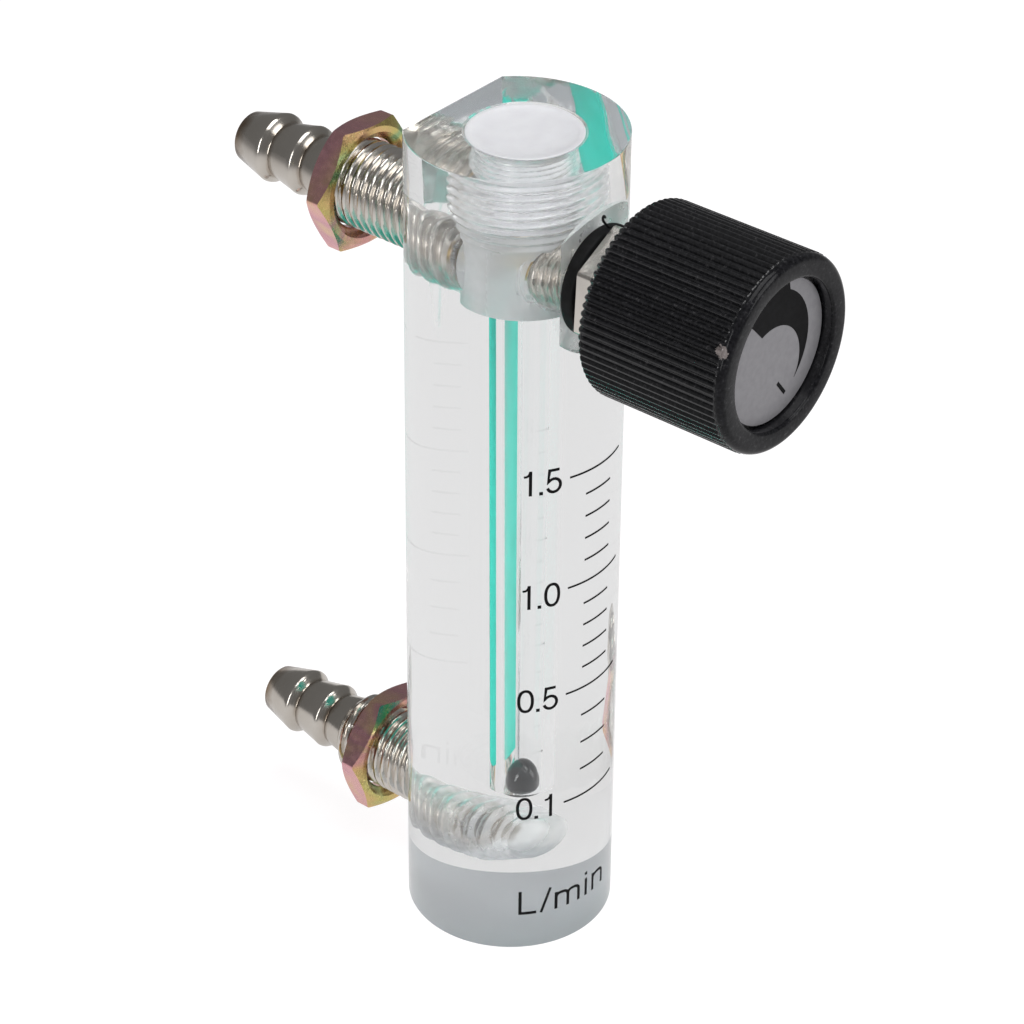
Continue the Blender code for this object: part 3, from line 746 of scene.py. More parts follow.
# Ball float
# A small ground ball, dark grey, that rests on the conical seat at the tube's foot.
BALL_LOW, BALL_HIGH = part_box("float_ball")
ball_radius = (BALL_HIGH.z - BALL_LOW.z) / 2
ball_work = bmesh.new()
bmesh.ops.create_icosphere(ball_work, subdivisions=5, radius=ball_radius * 0.999)
bmesh.ops.translate(ball_work, verts=ball_work.verts, vec=(BALL_LOW + BALL_HIGH) / 2)
ball = on_object("ball_float", ball_work)
ball.data.shade_smooth()
BALL = coated(
    "ball_grey",
    (900, 4),
    ((0.3, (0.005, 0.0055, 0.007)), (0.75, (0.012, 0.013, 0.016))),
    {"Roughness": 0.1},
    (2500, 2, 0.000006),
)
ball.data.materials.append(BALL)
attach(ball, "float")
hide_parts("float_ball")

# Teal strip
# A thin plastic film laid on the back flat between the ports. It shows through the tube.
strip_work = bmesh.new()
bmesh.ops.create_cube(strip_work, size=1)
strip_size = Vector(
    (
        STRIP_HIGH.x - STRIP_LOW.x,
        STRIP_HIGH.y - BACK_FLAT - 0.00002,
        STRIP_HIGH.z - STRIP_LOW.z,
    )
)
bmesh.ops.scale(strip_work, verts=strip_work.verts, vec=strip_size)
bmesh.ops.translate(
    strip_work,
    verts=strip_work.verts,
    vec=(0, STRIP_HIGH.y - strip_size.y / 2, (STRIP_LOW.z + STRIP_HIGH.z) / 2),
)
bmesh.ops.bevel(
    strip_work, geom=strip_work.edges[:], offset=0.00008, segments=3, affect="EDGES", profile=0.5
)
strip = on_object("teal_strip", strip_work)
strip.data.materials.append(TEAL)
shade(strip)
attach(strip, "meter")
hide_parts("back_strip")

# Hose connectors
# Two like parts, turned from brass rod and nickelled: a nose with two barbs for the
# hose, a plain neck, and a screwed stem that goes into the body.
BARB_CREST = 0.0040
BARB_ROOT = 0.0032
BARB_AT = (0.0043, 0.0090)
NOSE_RADIUS = 0.0029
NECK_RADIUS = 0.0037
THREAD_FROM = 0.0140
CONNECTOR_BORE = 0.0019
ORIFICE = 0.0012
ORIFICE_SINK = 0.0013
SINK_RADIUS = 0.0031
STEM_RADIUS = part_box("outlet_connector")[1].x


def nickel(name, height, groove_shade):
    """Nickel plate with turning marks, and a dark tint painted below a radius as shade in the
    grooves.
    """
    mat, tree, shader = shader_material(name)
    split = tree.nodes.new("ShaderNodeSeparateXYZ")
    tree.links.new(object_point(tree, (1, 1, 1), (0, 0, -height)), split.inputs[0])
    radius = hypotenuse(tree, split.outputs["X"], split.outputs["Z"])
    wander = calculate(tree, "MULTIPLY", noise(tree, 350, 3), 0.0007)
    depth = calculate(tree, "DIVIDE", calculate(tree, "ADD", radius, wander), 0.005)
    # Painted shade: the tint goes dark below a radius, so the grooves, the nose and the bore are
    # darker.
    tone = ramp(
        tree, depth, (0.66, groove_shade), (0.74, (0.54, 0.50, 0.45)), (1.0, (0.66, 0.625, 0.58))
    )
    tree.links.new(tone, shader.inputs["Base Color"])
    shader.inputs["Metallic"].default_value = 1.0
    marks = noise(tree, 60, 3, (1, 60, 1))
    tree.links.new(ramp(tree, marks, (0.3, 0.14), (0.75, 0.25)), shader.inputs["Roughness"])
    bump(tree, shader, marks, 0.000006)
    return mat


def connector(name, node, height, orifice):
    """One connector, with its sizes measured inwards from its tip."""
    low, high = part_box(node)
    tip, inner = high.y, low.y
    profile = [
        (CONNECTOR_BORE + 0.0002, tip),
        (NOSE_RADIUS - 0.0002, tip),
        (NOSE_RADIUS, tip - 0.0002),
    ]
    for place in BARB_AT:
        crest = tip - place
        profile += [
            (BARB_CREST - 0.00012, crest + 0.00045),
            (BARB_CREST, crest),
            (BARB_CREST - 0.00004, crest - 0.00025),
            (BARB_CREST - 0.00022, crest - 0.0005),
            (BARB_ROOT + 0.0001, crest - 0.00085),
            (BARB_ROOT, crest - 0.0011),
            (BARB_ROOT + 0.00008, crest - 0.0014),
        ]
    start = tip - THREAD_FROM
    shoulder = BACK_FLAT + GAP
    lead = STEM_RADIUS - NECK_RADIUS
    profile += [(NECK_RADIUS, start + lead + 0.0002)]
    profile += steps(STEM_RADIUS, start, NECK_RADIUS, start + lead, PORT_ROW)
    profile += steps(STEM_RADIUS, shoulder, STEM_RADIUS, start, PORT_ROW)[1:]
    rim = inner - ORIFICE_SINK if orifice else inner
    profile += steps(ROOT_RADIUS, rim + 0.0004, ROOT_RADIUS, shoulder, PORT_ROW)
    profile.append((ROOT_RADIUS - 0.0004, rim))
    if orifice:
        profile += [
            (SINK_RADIUS, rim),
            (SINK_RADIUS, inner),
            (ORIFICE, inner),
            (ORIFICE, inner + 0.0015),
            (CONNECTOR_BORE, inner + 0.0022),
        ]
    else:
        profile.append((CONNECTOR_BORE, inner))
    profile.append((CONNECTOR_BORE, tip - 0.0002))
    # The last colour is the dark tint painted in the grooves as shade.
    mat = nickel(name + "_nickel", height, (0.20, 0.13, 0.07))
    root = ROOT_RADIUS - 2 * PORT_DEPTH
    piece = threaded(
        name,
        profile,
        thread_sizes(rim - PORT_PITCH, start + lead, PORT_PITCH, PORT_DEPTH, root),
        mat,
        laid_back(height),
        closed=True,
    )
    shade(piece, 35)
    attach(piece, "meter")
    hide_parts(node)


connector("outlet_hose_connector", "outlet_connector", OUTLET_AXIS, True)
connector("inlet_hose_connector", "inlet_connector", INLET_AXIS, False)

# Panel nuts
# Thin pressed hexagons with both faces chamfered, zinc plated and passivated yellow,
# which leaves pink and green tints. One runs on each connector's stem.
NUT_FLATS = 0.014
NUT_CHAMFER = math.radians(30)
NUT_SINK = 0.0009


def yellow_zinc(name, shift, tints):
    """Passivated zinc: metal whose tint drifts through five tints."""
    mat, tree, shader = shader_material(name)
    texture = tree.nodes.new("ShaderNodeTexNoise")
    texture.inputs["Scale"].default_value = 150
    texture.inputs["Detail"].default_value = 2.5
    texture.inputs["Distortion"].default_value = 0.6
    tree.links.new(object_point(tree, (1, 1, 1), shift), texture.inputs["Vector"])
    tone = ramp(tree, texture.outputs[0], *zip((0.30, 0.42, 0.52, 0.60, 0.72), tints))
    tree.links.new(tone, shader.inputs["Base Color"])
    shader.inputs["Metallic"].default_value = 1.0
    scuff = noise(tree, 1500, 4)
    tree.links.new(ramp(tree, scuff, (0.3, 0.18), (0.75, 0.36)), shader.inputs["Roughness"])
    bump(tree, shader, scuff, 0.00001)
    return mat


SIDE_TINTS = (
    (0.74, 0.52, 0.30),
    (0.80, 0.46, 0.40),
    (0.76, 0.40, 0.42),
    (0.68, 0.36, 0.40),
    (0.78, 0.54, 0.34),
)
FACE_TINTS = (
    (0.16, 0.44, 0.26),
    (0.60, 0.52, 0.18),
    (0.74, 0.48, 0.22),
    (0.68, 0.34, 0.32),
    (0.56, 0.50, 0.20),
)


def hexagon(name, flats, low, high, bore, sink, turn, place, mat, flat_foot=False):
    """A chamfered hexagon with its corners eased and a bore sunk at both ends."""
    corner = flats / math.sqrt(3)
    work = bmesh.new()
    bmesh.ops.create_cone(
        work, cap_ends=True, segments=6, radius1=corner, radius2=corner, depth=high - low
    )
    first_corner = max(work.verts, key=lambda v: (round(v.co.x, 7), v.co.y)).co
    start = math.atan2(first_corner.y, first_corner.x)
    bmesh.ops.rotate(work, verts=work.verts, matrix=Matrix.Rotation(turn - start, 3, "Z"))
    bmesh.ops.translate(work, verts=work.verts, vec=(0, 0, (low + high) / 2))
    upright = [e for e in work.edges if abs(e.verts[0].co.z - e.verts[1].co.z) > flats / 100]
    bmesh.ops.bevel(
        work, geom=upright, offset=0.00028, segments=4, profile=0.5, affect="EDGES"
    )
    piece = on_object(name, work)
    rim = corner + GAP
    fall = math.tan(NUT_CHAMFER)
    face = flats / 2 * 0.97
    foot = [(rim, low + (rim - face) * fall), (0, low - face * fall)]
    if flat_foot:
        foot = [(rim, low - GAP), (0, low - GAP)]
    crown = turned(
        name + "_crown",
        [(0, high + face * fall), (rim, high - (rim - face) * fall)] + foot,
        180,
    )
    hole = turned(
        name + "_hole",
        [
            (0, high + sink),
            (bore + 2 * sink, high + sink),
            (bore, high - sink),
            (bore, low + sink),
            (bore + 2 * sink, low - sink),
            (0, low - sink),
        ],
        96,
    )
    for label, operation, tool in (("Chamfer", "INTERSECT", crown), ("Hole", "DIFFERENCE", hole)):
        step = piece.modifiers.new(label, "BOOLEAN")
        step.operation = operation
        step.object = tool
    piece = finished(piece, place)
    for tool in (crown, hole):
        bpy.data.objects.remove(tool)
    piece.data.materials.clear()
    piece.data.materials.append(mat)
    shade(piece, 25)
    return piece


for name, node, height, turn, shift in (
    ("outlet_panel_nut", "outlet_nut", OUTLET_AXIS, -56, (0.013, 0.002, 0.004)),
    ("inlet_panel_nut", "inlet_nut", INLET_AXIS, -50, (0.0, 0.004, 0.02)),
):
    low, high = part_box(node)
    nut = hexagon(
        name,
        NUT_FLATS,
        low.y,
        high.y,
        STEM_RADIUS + GAP * 0.7,
        NUT_SINK,
        math.radians(turn),
        laid_back(height),
        yellow_zinc(name + "_side_zinc", shift, SIDE_TINTS),
    )
    face_zinc = yellow_zinc(name + "_face_zinc", shift, FACE_TINTS)
    paint_faces(nut, face_zinc, lambda place, way: abs(way.y) > 0.1)
    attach(nut, node.replace("nut", "panel_nut"))
    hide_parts(node)

# Valve washer
# A black rubber washer between the bonnet and the body. A strand has torn off its edge
# and stands up in a curl.
WASHER_LOW, WASHER_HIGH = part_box("valve_washer")
BLACK_RUBBER = coated(
    "black_rubber",
    (700, 4),
    ((0.3, (0.004, 0.004, 0.004)), (0.8, (0.012, 0.012, 0.013))),
    {"Roughness": 0.6, "Specular IOR Level": 0.15},
    (2500, 3, 0.00002),
)
washer_back = -WASHER_HIGH.y
washer_front = -WASHER_LOW.y
washer_round = 0.0004
washer_radius = WASHER_HIGH.x
washer_profile = [(VALVE_RADIUS, washer_front)]
for centre, start in ((washer_front - washer_round, 90), (washer_back + washer_round, 0)):
    for i in range(7):
        angle = math.radians(start - 15 * i)
        washer_profile.append(
            (
                washer_radius - washer_round + washer_round * math.cos(angle),
                centre + washer_round * math.sin(angle),
            )
        )
washer_profile.append((VALVE_RADIUS, washer_back))
washer = finished(
    turned("rubber_washer", washer_profile, 96, closed=True), laid_forward(OUTLET_AXIS)
)
STRAND_AT = -0.0120
STRAND = (
    (0.0030, 0.0046, 0.00022),
    (0.00232, 0.00526, 0.00026),
    (0.00176, 0.00582, 0.00024),
    (0.00113, 0.00589, 0.00016),
    (0.00039, 0.00639, 0.00014),
    (-0.00007, 0.00691, 0.00014),
    (-0.00045, 0.00744, 0.00014),
    (-0.00050, 0.00778, 0.00014),
    (-0.00033, 0.00790, 0.00015),
    (-0.00010, 0.00764, 0.00012),
)


def torn_strand(points, sides=12, between=5):
    """A round strand through (x, height, radius) points on one upright plane."""
    work = bmesh.new()
    points = [Vector(point) for point in points]
    path = []
    for i in range(len(points) - 1):
        before = points[max(i - 1, 0)]
        after = points[min(i + 2, len(points) - 1)]
        for j in range(between):
            t = j / between
            near, far = points[i], points[i + 1]
            leave = (far - before) / 2 * t * (1 - t) ** 2
            arrive = (after - near) / 2 * t * t * (1 - t)
            path.append(near.lerp(far, t * t * (3 - 2 * t)) + leave - arrive)
    path.append(points[-1])
    rings = []
    for i, point in enumerate(path):
        along = path[min(i + 1, len(path) - 1)] - path[max(i - 1, 0)]
        across = Vector((-along.y, along.x)).normalized()
        ring = []
        for j in range(sides):
            angle = 2 * math.pi * j / sides
            out = point.z * math.cos(angle)
            place = (
                point.x + across.x * out,
                STRAND_AT + point.z * math.sin(angle),
                OUTLET_AXIS + point.y + across.y * out,
            )
            ring.append(work.verts.new(place))
        rings.append(ring)
    for first_ring, next_ring in zip(rings, rings[1:]):
        for j in range(sides):
            k = (j + 1) % sides
            work.faces.new((first_ring[j], first_ring[k], next_ring[k], next_ring[j]))
    work.faces.new(rings[0])
    work.faces.new(rings[-1])
    bmesh.ops.recalc_face_normals(work, faces=work.faces[:])
    return work


torn = torn_strand(STRAND)
torn.from_mesh(washer.data)
torn.to_mesh(washer.data)
torn.free()
washer.data.materials.append(BLACK_RUBBER)
shade(washer, 40)
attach(washer, "meter")
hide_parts("valve_washer")

# Valve bonnet
# A nickelled hexagon on a screwed stem, screwed into the body against the washer. Its
# neck carries the knob's side and it is bored through for the spindle.
HEX_FLATS = 0.012
HEX_TURN = math.radians(27)
HEX_HEIGHT = 0.0030
STEM = 0.0040
BONNET_BORE = 0.0029
hex_back = washer_front + GAP
hex_front = hex_back + HEX_HEIGHT
# The last colour is a greyer tint painted below a radius as shade.
NICKEL_VALVE = nickel("valve_nickel", OUTLET_AXIS, (0.45, 0.41, 0.36))
bonnet_hex = hexagon(
    "valve_bonnet_hexagon",
    HEX_FLATS,
    hex_back,
    hex_front,
    STEM - 2 * GAP,
    GAP,
    HEX_TURN,
    laid_forward(OUTLET_AXIS),
    NICKEL_VALVE,
    flat_foot=True,
)
bonnet_stem = threaded(
    "valve_bonnet_stem",
    [(STEM - 0.0005, -BONNET_LOW.y), (STEM, -BONNET_LOW.y - 0.0005)]
    + steps(STEM, -BONNET_HIGH.y + 0.0006, STEM, hex_back, VALVE_ROW)
    + [
        (STEM - 0.0006, -BONNET_HIGH.y),
        (BONNET_BORE, -BONNET_HIGH.y),
        (BONNET_BORE, -BONNET_LOW.y),
    ],
    thread_sizes(
        -BONNET_HIGH.y - VALVE_PITCH, hex_back, VALVE_PITCH, VALVE_DEPTH, STEM - 2 * VALVE_DEPTH
    ),
    NICKEL_VALVE,
    laid_forward(OUTLET_AXIS),
    closed=True,
)
shade(bonnet_stem, 35)
for piece in (bonnet_hex, bonnet_stem):
    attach(piece, "meter")
    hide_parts("valve_bonnet")

# Valve spindle, its seal and the knob's fastenings
# These stay as the solids of the frame, hidden inside the valve and the knob: a brass
# spindle with a needle, a rubber ring, a brass bush and a zinc-plated screw.
def bare_metal(name, grain, tones, rough):
    """Metal whose tone and whose faint relief follow the same marks."""
    mat, tree, shader = shader_material(name)
    marks = noise(tree, *grain)
    tree.links.new(ramp(tree, marks, *tones), shader.inputs["Base Color"])
    shader.inputs["Metallic"].default_value = 1.0
    shader.inputs["Roughness"].default_value = rough
    bump(tree, shader, marks, 0.000006)
    return mat


BRASS_TONES = ((0.3, (0.70, 0.50, 0.22)), (0.7, (0.82, 0.64, 0.34)))
BRASS = bare_metal("turned_brass", (60, 3, (1, 60, 1)), BRASS_TONES, 0.28)
STEEL = bare_metal("zinc_plate", (900, 3), ((0.3, 0.5), (0.7, 0.64)), 0.35)
for node, mat in (
    ("valve_spindle", BRASS),
    ("knob_bush", BRASS),
    ("knob_screw", STEEL),
    ("spindle_seal", BLACK_RUBBER),
):
    for material_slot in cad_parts[node].material_slots:
        material_slot.material = mat

# Knob
# A black moulded knob with fine ribs round its side, a flat glossy lip and a deep recess
# in its face. It is open at the back round a hub that holds the bush.
KNOB_LOW, KNOB_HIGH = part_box("knob")
DISC_LOW, DISC_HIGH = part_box("knob_disc")
KNOB_RADIUS = KNOB_HIGH.x
RIBS = 75
RIB_DEPTH = 0.0004
BEZEL = 0.0009
FACE_THICKNESS = 0.0030
HUB_SINK = 0.0033
HEAD_SINK = 0.0012
knob_front = -KNOB_LOW.y
knob_rear = -KNOB_HIGH.y
rib_front = knob_front - BEZEL
RECESS_RADIUS = DISC_HIGH.x + GAP
recess_floor = -DISC_HIGH.y - GAP
CHIP = (-0.0099, -0.0345, 0.0914)
CHIP_REACH = 0.00122


def knob_plastic(name, rough, gloss):
    """Black moulded plastic with fine scuffs, and a pale chip on the ribs' front ends."""
    mat, tree, shader = shader_material(name)
    scuff = noise(tree, 2600, 5)
    black, worn, scratched = (0.005, 0.005, 0.006), (0.014, 0.014, 0.016), (0.06, 0.058, 0.06)
    tone = ramp(tree, scuff, (0.35, black), (0.62, worn), (0.80, scratched))
    off = tree.nodes.new("ShaderNodeVectorMath")
    off.operation = "DISTANCE"
    tree.links.new(object_point(tree), off.inputs[0])
    off.inputs[1].default_value = CHIP
    ragged = calculate(tree, "MULTIPLY", noise(tree, 2500, 4), 0.0011)
    reach = calculate(tree, "ADD", off.outputs["Value"], ragged)
    chip = calculate(tree, "LESS_THAN", reach, CHIP_REACH)
    mix = tree.nodes.new("ShaderNodeMix")
    mix.data_type = "RGBA"
    mix.inputs["B"].default_value = (0.20, 0.175, 0.17, 1)
    tree.links.new(chip, mix.inputs["Factor"])
    tree.links.new(tone, mix.inputs["A"])
    tone = mix.outputs["Result"]
    tree.links.new(tone, shader.inputs["Base Color"])
    tree.links.new(
        ramp(tree, noise(tree, 1500, 4), (0.3, float(rough[0])), (0.8, float(rough[1]))),
        shader.inputs["Roughness"],
    )
    shader.inputs["Specular IOR Level"].default_value = gloss
    bump(tree, shader, noise(tree, 2500, 4), 0.000012)
    return mat


KNOB_BLACK = knob_plastic("knob_black", (0.12, 0.26), 0.5)
KNOB_LIP = knob_plastic("knob_black_lip", (0.06, 0.14), 0.12)
bezel_radius = KNOB_RADIUS - 0.0001
lip_round = 0.0008
crown = [
    (RECESS_RADIUS, knob_front - 0.00035),
    (RECESS_RADIUS + 0.00005, knob_front - 0.00018),
    (RECESS_RADIUS + 0.00018, knob_front - 0.00005),
    (RECESS_RADIUS + 0.00035, knob_front),
]
crown += [
    (
        bezel_radius - lip_round + lip_round * math.cos(math.radians(90 - 10 * i)),
        knob_front - lip_round + lip_round * math.sin(math.radians(90 - 10 * i)),
    )
    for i in range(10)
]
skirt = 0.0089
hub = 0.0048
hub_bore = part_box("knob_bush")[1].x + GAP
hub_back = knob_rear + HUB_SINK
skirt_floor = recess_floor - FACE_THICKNESS
head_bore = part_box("knob_screw")[1].x + GAP
head_floor = -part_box("knob_screw")[0].y - HEAD_SINK
bush_front = -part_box("knob_bush")[0].y + GAP
shank_bore = 0.0013
knob = turned(
    "control_knob",
    [(RECESS_RADIUS, recess_floor)]
    + crown
    + [(KNOB_RADIUS - 0.00015, rib_front)]
    + steps(KNOB_RADIUS, rib_front - 0.001, KNOB_RADIUS, rib_front - 0.0001, 0.0001)
    + steps(KNOB_RADIUS, knob_rear + 0.0006, KNOB_RADIUS, rib_front - 0.001, 0.0012)[1:]
    + [
        (KNOB_RADIUS - 0.0001, knob_rear + 0.0003),
        (KNOB_RADIUS - 0.0004, knob_rear),
        (skirt + 0.0002, knob_rear),
        (skirt, knob_rear + 0.0002),
        (skirt, skirt_floor),
        (hub, skirt_floor),
        (hub, hub_back),
        (hub_bore, hub_back),
        (hub_bore, bush_front),
        (shank_bore, bush_front),
        (shank_bore, head_floor),
        (head_bore, head_floor),
        (head_bore, recess_floor),
    ],
    RIBS * 10,
    closed=True,
)
with_tree(
    knob,
    cutter_tree("Cut ribs", "Count", 0.15),
    {
        "Low end": knob_rear - 0.001,
        "High end": rib_front,
        "Count": float(RIBS),
        "Depth": RIB_DEPTH,
        "Run-out": 0.0003,
        "Root radius": skirt + 0.0008,
    },
    KNOB_BLACK,
)
knob = finished(knob, laid_forward(OUTLET_AXIS))
paint_faces(knob, KNOB_LIP, lambda place, way: place.y < -rib_front)
shade(knob, 35)
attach(knob, "control")
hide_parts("knob")

# Knob disc
# A thin grey disc pressed into the recess. A black crescent and a short dash are printed
# on it.
disc = finished(
    turned(
        "knob_face_disc",
        [
            (0, -DISC_LOW.y),
            (DISC_HIGH.x - 0.0001, -DISC_LOW.y),
            (DISC_HIGH.x, -DISC_LOW.y - 0.0001),
            (DISC_HIGH.x, -DISC_HIGH.y),
            (0, -DISC_HIGH.y),
        ],
        128,
    ),
    laid_forward(OUTLET_AXIS),
)
DISC = coated(
    "disc_grey",
    (1200, 3),
    ((0.3, (0.235, 0.23, 0.245)), (0.7, (0.27, 0.265, 0.28))),
    {"Metallic": 0.3, "Roughness": 0.4},
    (3000, 2, 0.000008),
)
disc.data.materials.append(DISC)
shade(disc)
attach(disc, "control")
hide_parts("knob_disc")

# Print on the disc
# A black crescent with one squared end, and a short dash across its line, in thin ink.
CRESCENT_OUT = (-0.00133, 0.00040, 0.00694)
CRESCENT_IN = (-0.00079, -0.00202, 0.00506)
DISC_PRINT = 0.00003
DASH = ((0.00062, -0.00402), (0.00200, -0.00576))
DASH_WIDTH = 0.00042
INK = coated(
    "scale_ink",
    (1500, 3),
    ((0.3, (0.003, 0.003, 0.0035)), (0.8, (0.008, 0.008, 0.009))),
    {"Roughness": 0.6, "Specular IOR Level": 0.1},
)


def arc(x, z, radius, start, stop, count):
    """Points on an arc from one angle to another, in X and Z."""
    points = []
    for i in range(count + 1):
        angle = math.radians(start + (stop - start) * i / count)
        points.append((x + radius * math.cos(angle), z + radius * math.sin(angle)))
    return points


rim_arc = arc(0, 0, DISC_HIGH.x - 0.00012, 77, 133, 18)
crescent = arc(*CRESCENT_OUT, -46, 61, 40) + rim_arc + [(-0.00365, 0.00398)]
crescent += arc(*CRESCENT_IN, 110, -29, 40)
dash_way = (Vector(DASH[1]) - Vector(DASH[0])).normalized()
dash_side = Vector((-dash_way.y, dash_way.x)) * DASH_WIDTH / 2
dash = [Vector(end) + dash_side for end in DASH] + [Vector(end) - dash_side for end in DASH[::-1]]
print_work = bmesh.new()
for outline in (crescent, dash):
    level = DISC_LOW.y + DISC_PRINT / 4
    ring = [print_work.verts.new((x, level, OUTLET_AXIS + z)) for x, z in outline]
    print_work.faces.new(ring)
drawn = bmesh.ops.extrude_face_region(print_work, geom=print_work.faces[:])
lifted = [v for v in drawn["geom"] if isinstance(v, bmesh.types.BMVert)]
bmesh.ops.translate(print_work, verts=lifted, vec=(0, -DISC_PRINT, 0))
bmesh.ops.recalc_face_normals(print_work, faces=print_work.faces)
disc_print = on_object("disc_print", print_work)
disc_print.data.materials.append(INK)
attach(disc_print, "control")

# Scale
# Black ink printed on the front of the rod: a tick for each tenth of a litre, longer
# ones with numbers, and the unit below.
INK_HEIGHT = 0.00002
INK_THICKNESS = 0.00002
TICK_HEIGHTS = [0.02015 + 0.0038 * i for i in range(5)]
TICK_HEIGHTS += [TICK_HEIGHTS[4] - 0.00005 + 0.00288 * i for i in range(1, 11)]
LONG_TICKS = {0: ("01", 0.01872), 4: ("05", 0.03380), 9: ("10", 0.04780), 14: ("15", 0.06262)}
LONG_HALF = math.radians(20.5)
SHORT_HALF = math.radians(10)
TICK_LINE = 0.00025
NUMBER_HEIGHT = 0.00315
NUMBER_LINE = 0.00036
CELLS = (-0.00905, -0.00618)
POINT_AT = -0.00764
UNIT_BASE = 0.00487
UNIT_HEIGHT = 0.00338
UNIT_LINE = 0.00038
SMALL_HEIGHT = 0.00244
CAPITAL_STEM, CAPITAL_TIP = -0.00940, -0.00748
SLASH_FOOT, SLASH_TIP = -0.00692, -0.00579
ARCHES = ((-0.00504, -0.00345), (-0.00345, -0.00188), (0.00055, 0.00245))
DOTTED_STEM = -0.00068
DOT = 0.0004
POINT = 0.00042
SLICE = 0.0004
SLICE_SHIFT = 0.175


def printed(name, meshes):
    """Join flat prints, slice them finely, thicken them and wrap them round the rod."""
    work = bmesh.new()
    for mesh in meshes:
        work.from_mesh(mesh)
    for i in range(-40, 41):
        bmesh.ops.bisect_plane(
            work,
            geom=work.verts[:] + work.edges[:] + work.faces[:],
            plane_co=((i + SLICE_SHIFT) * SLICE, 0, 0),
            plane_no=(1, 0, 0),
            dist=1e-7,
        )
    bmesh.ops.remove_doubles(work, verts=work.verts, dist=1e-6)
    top = bmesh.ops.extrude_face_region(work, geom=work.faces[:])
    lifted = [v for v in top["geom"] if isinstance(v, bmesh.types.BMVert)]
    bmesh.ops.translate(work, verts=lifted, vec=(0, INK_THICKNESS, 0))
    bmesh.ops.recalc_face_normals(work, faces=work.faces)
    obj = on_object(name, work)
    for vertex in obj.data.vertices:
        angle = vertex.co.x / BODY_RADIUS
        out = BODY_RADIUS + INK_HEIGHT + vertex.co.y
        vertex.co = (out * math.sin(angle), -out * math.cos(angle), vertex.co.z)
    obj.data.materials.append(INK)
    return obj


def flat_stroke(points, width, closed=False):
    """A flat stroke of a width along points, drawn in X and Z."""
    count = len(points)
    corners = []
    for i, (x, z) in enumerate(points):
        before = points[i - 1] if i or closed else points[0]
        after = points[(i + 1) % count] if i < count - 1 or closed else points[-1]
        ways = []
        for start, stop in ((before, points[i]), (points[i], after)):
            way = Vector((stop[0] - start[0], stop[1] - start[1]))
            if way.length > 1e-7:
                ways.append(way.normalized())
        along = (ways[0] + ways[-1]).normalized()
        reach = width / 2 / max(0.5, along.dot(ways[0]))
        corners.append((x - along.y * reach, 0, z + along.x * reach))
        corners.append((x + along.y * reach, 0, z - along.x * reach))
    faces = [(2 * i, 2 * i + 1, 2 * i + 3, 2 * i + 2) for i in range(count - 1)]
    if closed:
        faces.append((2 * count - 2, 2 * count - 1, 1, 0))
    mesh = bpy.data.meshes.new("stroke")
    mesh.from_pydata(corners, [], faces)
    return mesh


def bow(x, z, half_width, half_height, start, stop, count=16, power=1.0):
    """Points on an oval from one angle to another; a power under 1 squares it up."""
    points = []
    for i in range(count + 1):
        angle = math.radians(start + (stop - start) * i / count)
        wide, high = math.cos(angle), math.sin(angle)
        points.append(
            (
                x + half_width * math.copysign(abs(wide) ** power, wide),
                z + half_height * math.copysign(abs(high) ** power, high),
            )
        )
    return points


def digit(figure, x, base):
    """Flat strokes of a figure whose cell has its middle at x."""
    tall = NUMBER_HEIGHT
    half = NUMBER_LINE / 2
    wide = tall * 0.3 - half
    if figure == "0":
        oval = bow(x, base + tall / 2, wide, tall / 2 - half, 0, 352.5, 47, 0.88)
        return [flat_stroke(oval, NUMBER_LINE, closed=True)]
    if figure == "1":
        stem = x + tall * 0.075
        flag = ((0.23, 0.775), (0.13, 0.785), (0.05, 0.85), (0, 0.985))
        flag = [(stem - tall * back, base + tall * share) for back, share in flag]
        return [
            flat_stroke([(stem, base), (stem, base + tall)], NUMBER_LINE),
            flat_stroke(flag, NUMBER_LINE * 0.75),
        ]
    top = base + tall - half
    bowl = base + tall * 0.325
    line = [(x + wide * 0.78, top), (x - wide * 0.70, top), (x - wide * 0.90, base + tall * 0.47)]
    line += bow(x - wide * 0.03, bowl, wide, tall * 0.325 - half, 135, -162)
    return [flat_stroke(line, NUMBER_LINE)]


def arch(left, right, line):
    """One arch of a small letter, down to the base line on its right."""
    spring = UNIT_BASE + SMALL_HEIGHT * 0.66
    rise = SMALL_HEIGHT * 0.34 - line / 2
    curve = bow((left + right) / 2, spring, (right - left) / 2, rise, 180, 0, 12, 0.8)
    return flat_stroke(curve + [(right, UNIT_BASE)], line)


def upright(x, low, high, line):
    """An upright stroke."""
    return flat_stroke([(x, low), (x, high)], line)


prints = []
for number, height in enumerate(TICK_HEIGHTS):
    half = (LONG_HALF if number in LONG_TICKS else SHORT_HALF) * BODY_RADIUS
    prints.append(flat_stroke([(-half, height), (half, height)], TICK_LINE))
    if number in LONG_TICKS:
        figures, base = LONG_TICKS[number]
        for figure, place in zip(figures, CELLS):
            prints += digit(figure, place, base)
        prints.append(upright(POINT_AT, base, base + POINT, POINT))
small_top = UNIT_BASE + SMALL_HEIGHT
unit_top = UNIT_BASE + UNIT_HEIGHT
sole = UNIT_BASE + UNIT_LINE / 2
capital = [(CAPITAL_STEM, unit_top), (CAPITAL_STEM, sole), (CAPITAL_TIP, sole)]
prints.append(flat_stroke(capital, UNIT_LINE))
prints.append(flat_stroke([(SLASH_FOOT, UNIT_BASE), (SLASH_TIP, unit_top)], UNIT_LINE * 0.85))
for stem in (ARCHES[0][0], ARCHES[2][0], DOTTED_STEM):
    prints.append(upright(stem, UNIT_BASE, small_top, UNIT_LINE))
prints.append(upright(DOTTED_STEM, unit_top - DOT, unit_top, UNIT_LINE))
for left, right in ARCHES:
    prints.append(arch(left, right, UNIT_LINE))
scale = printed("printed_scale", prints)
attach(scale, "meter")

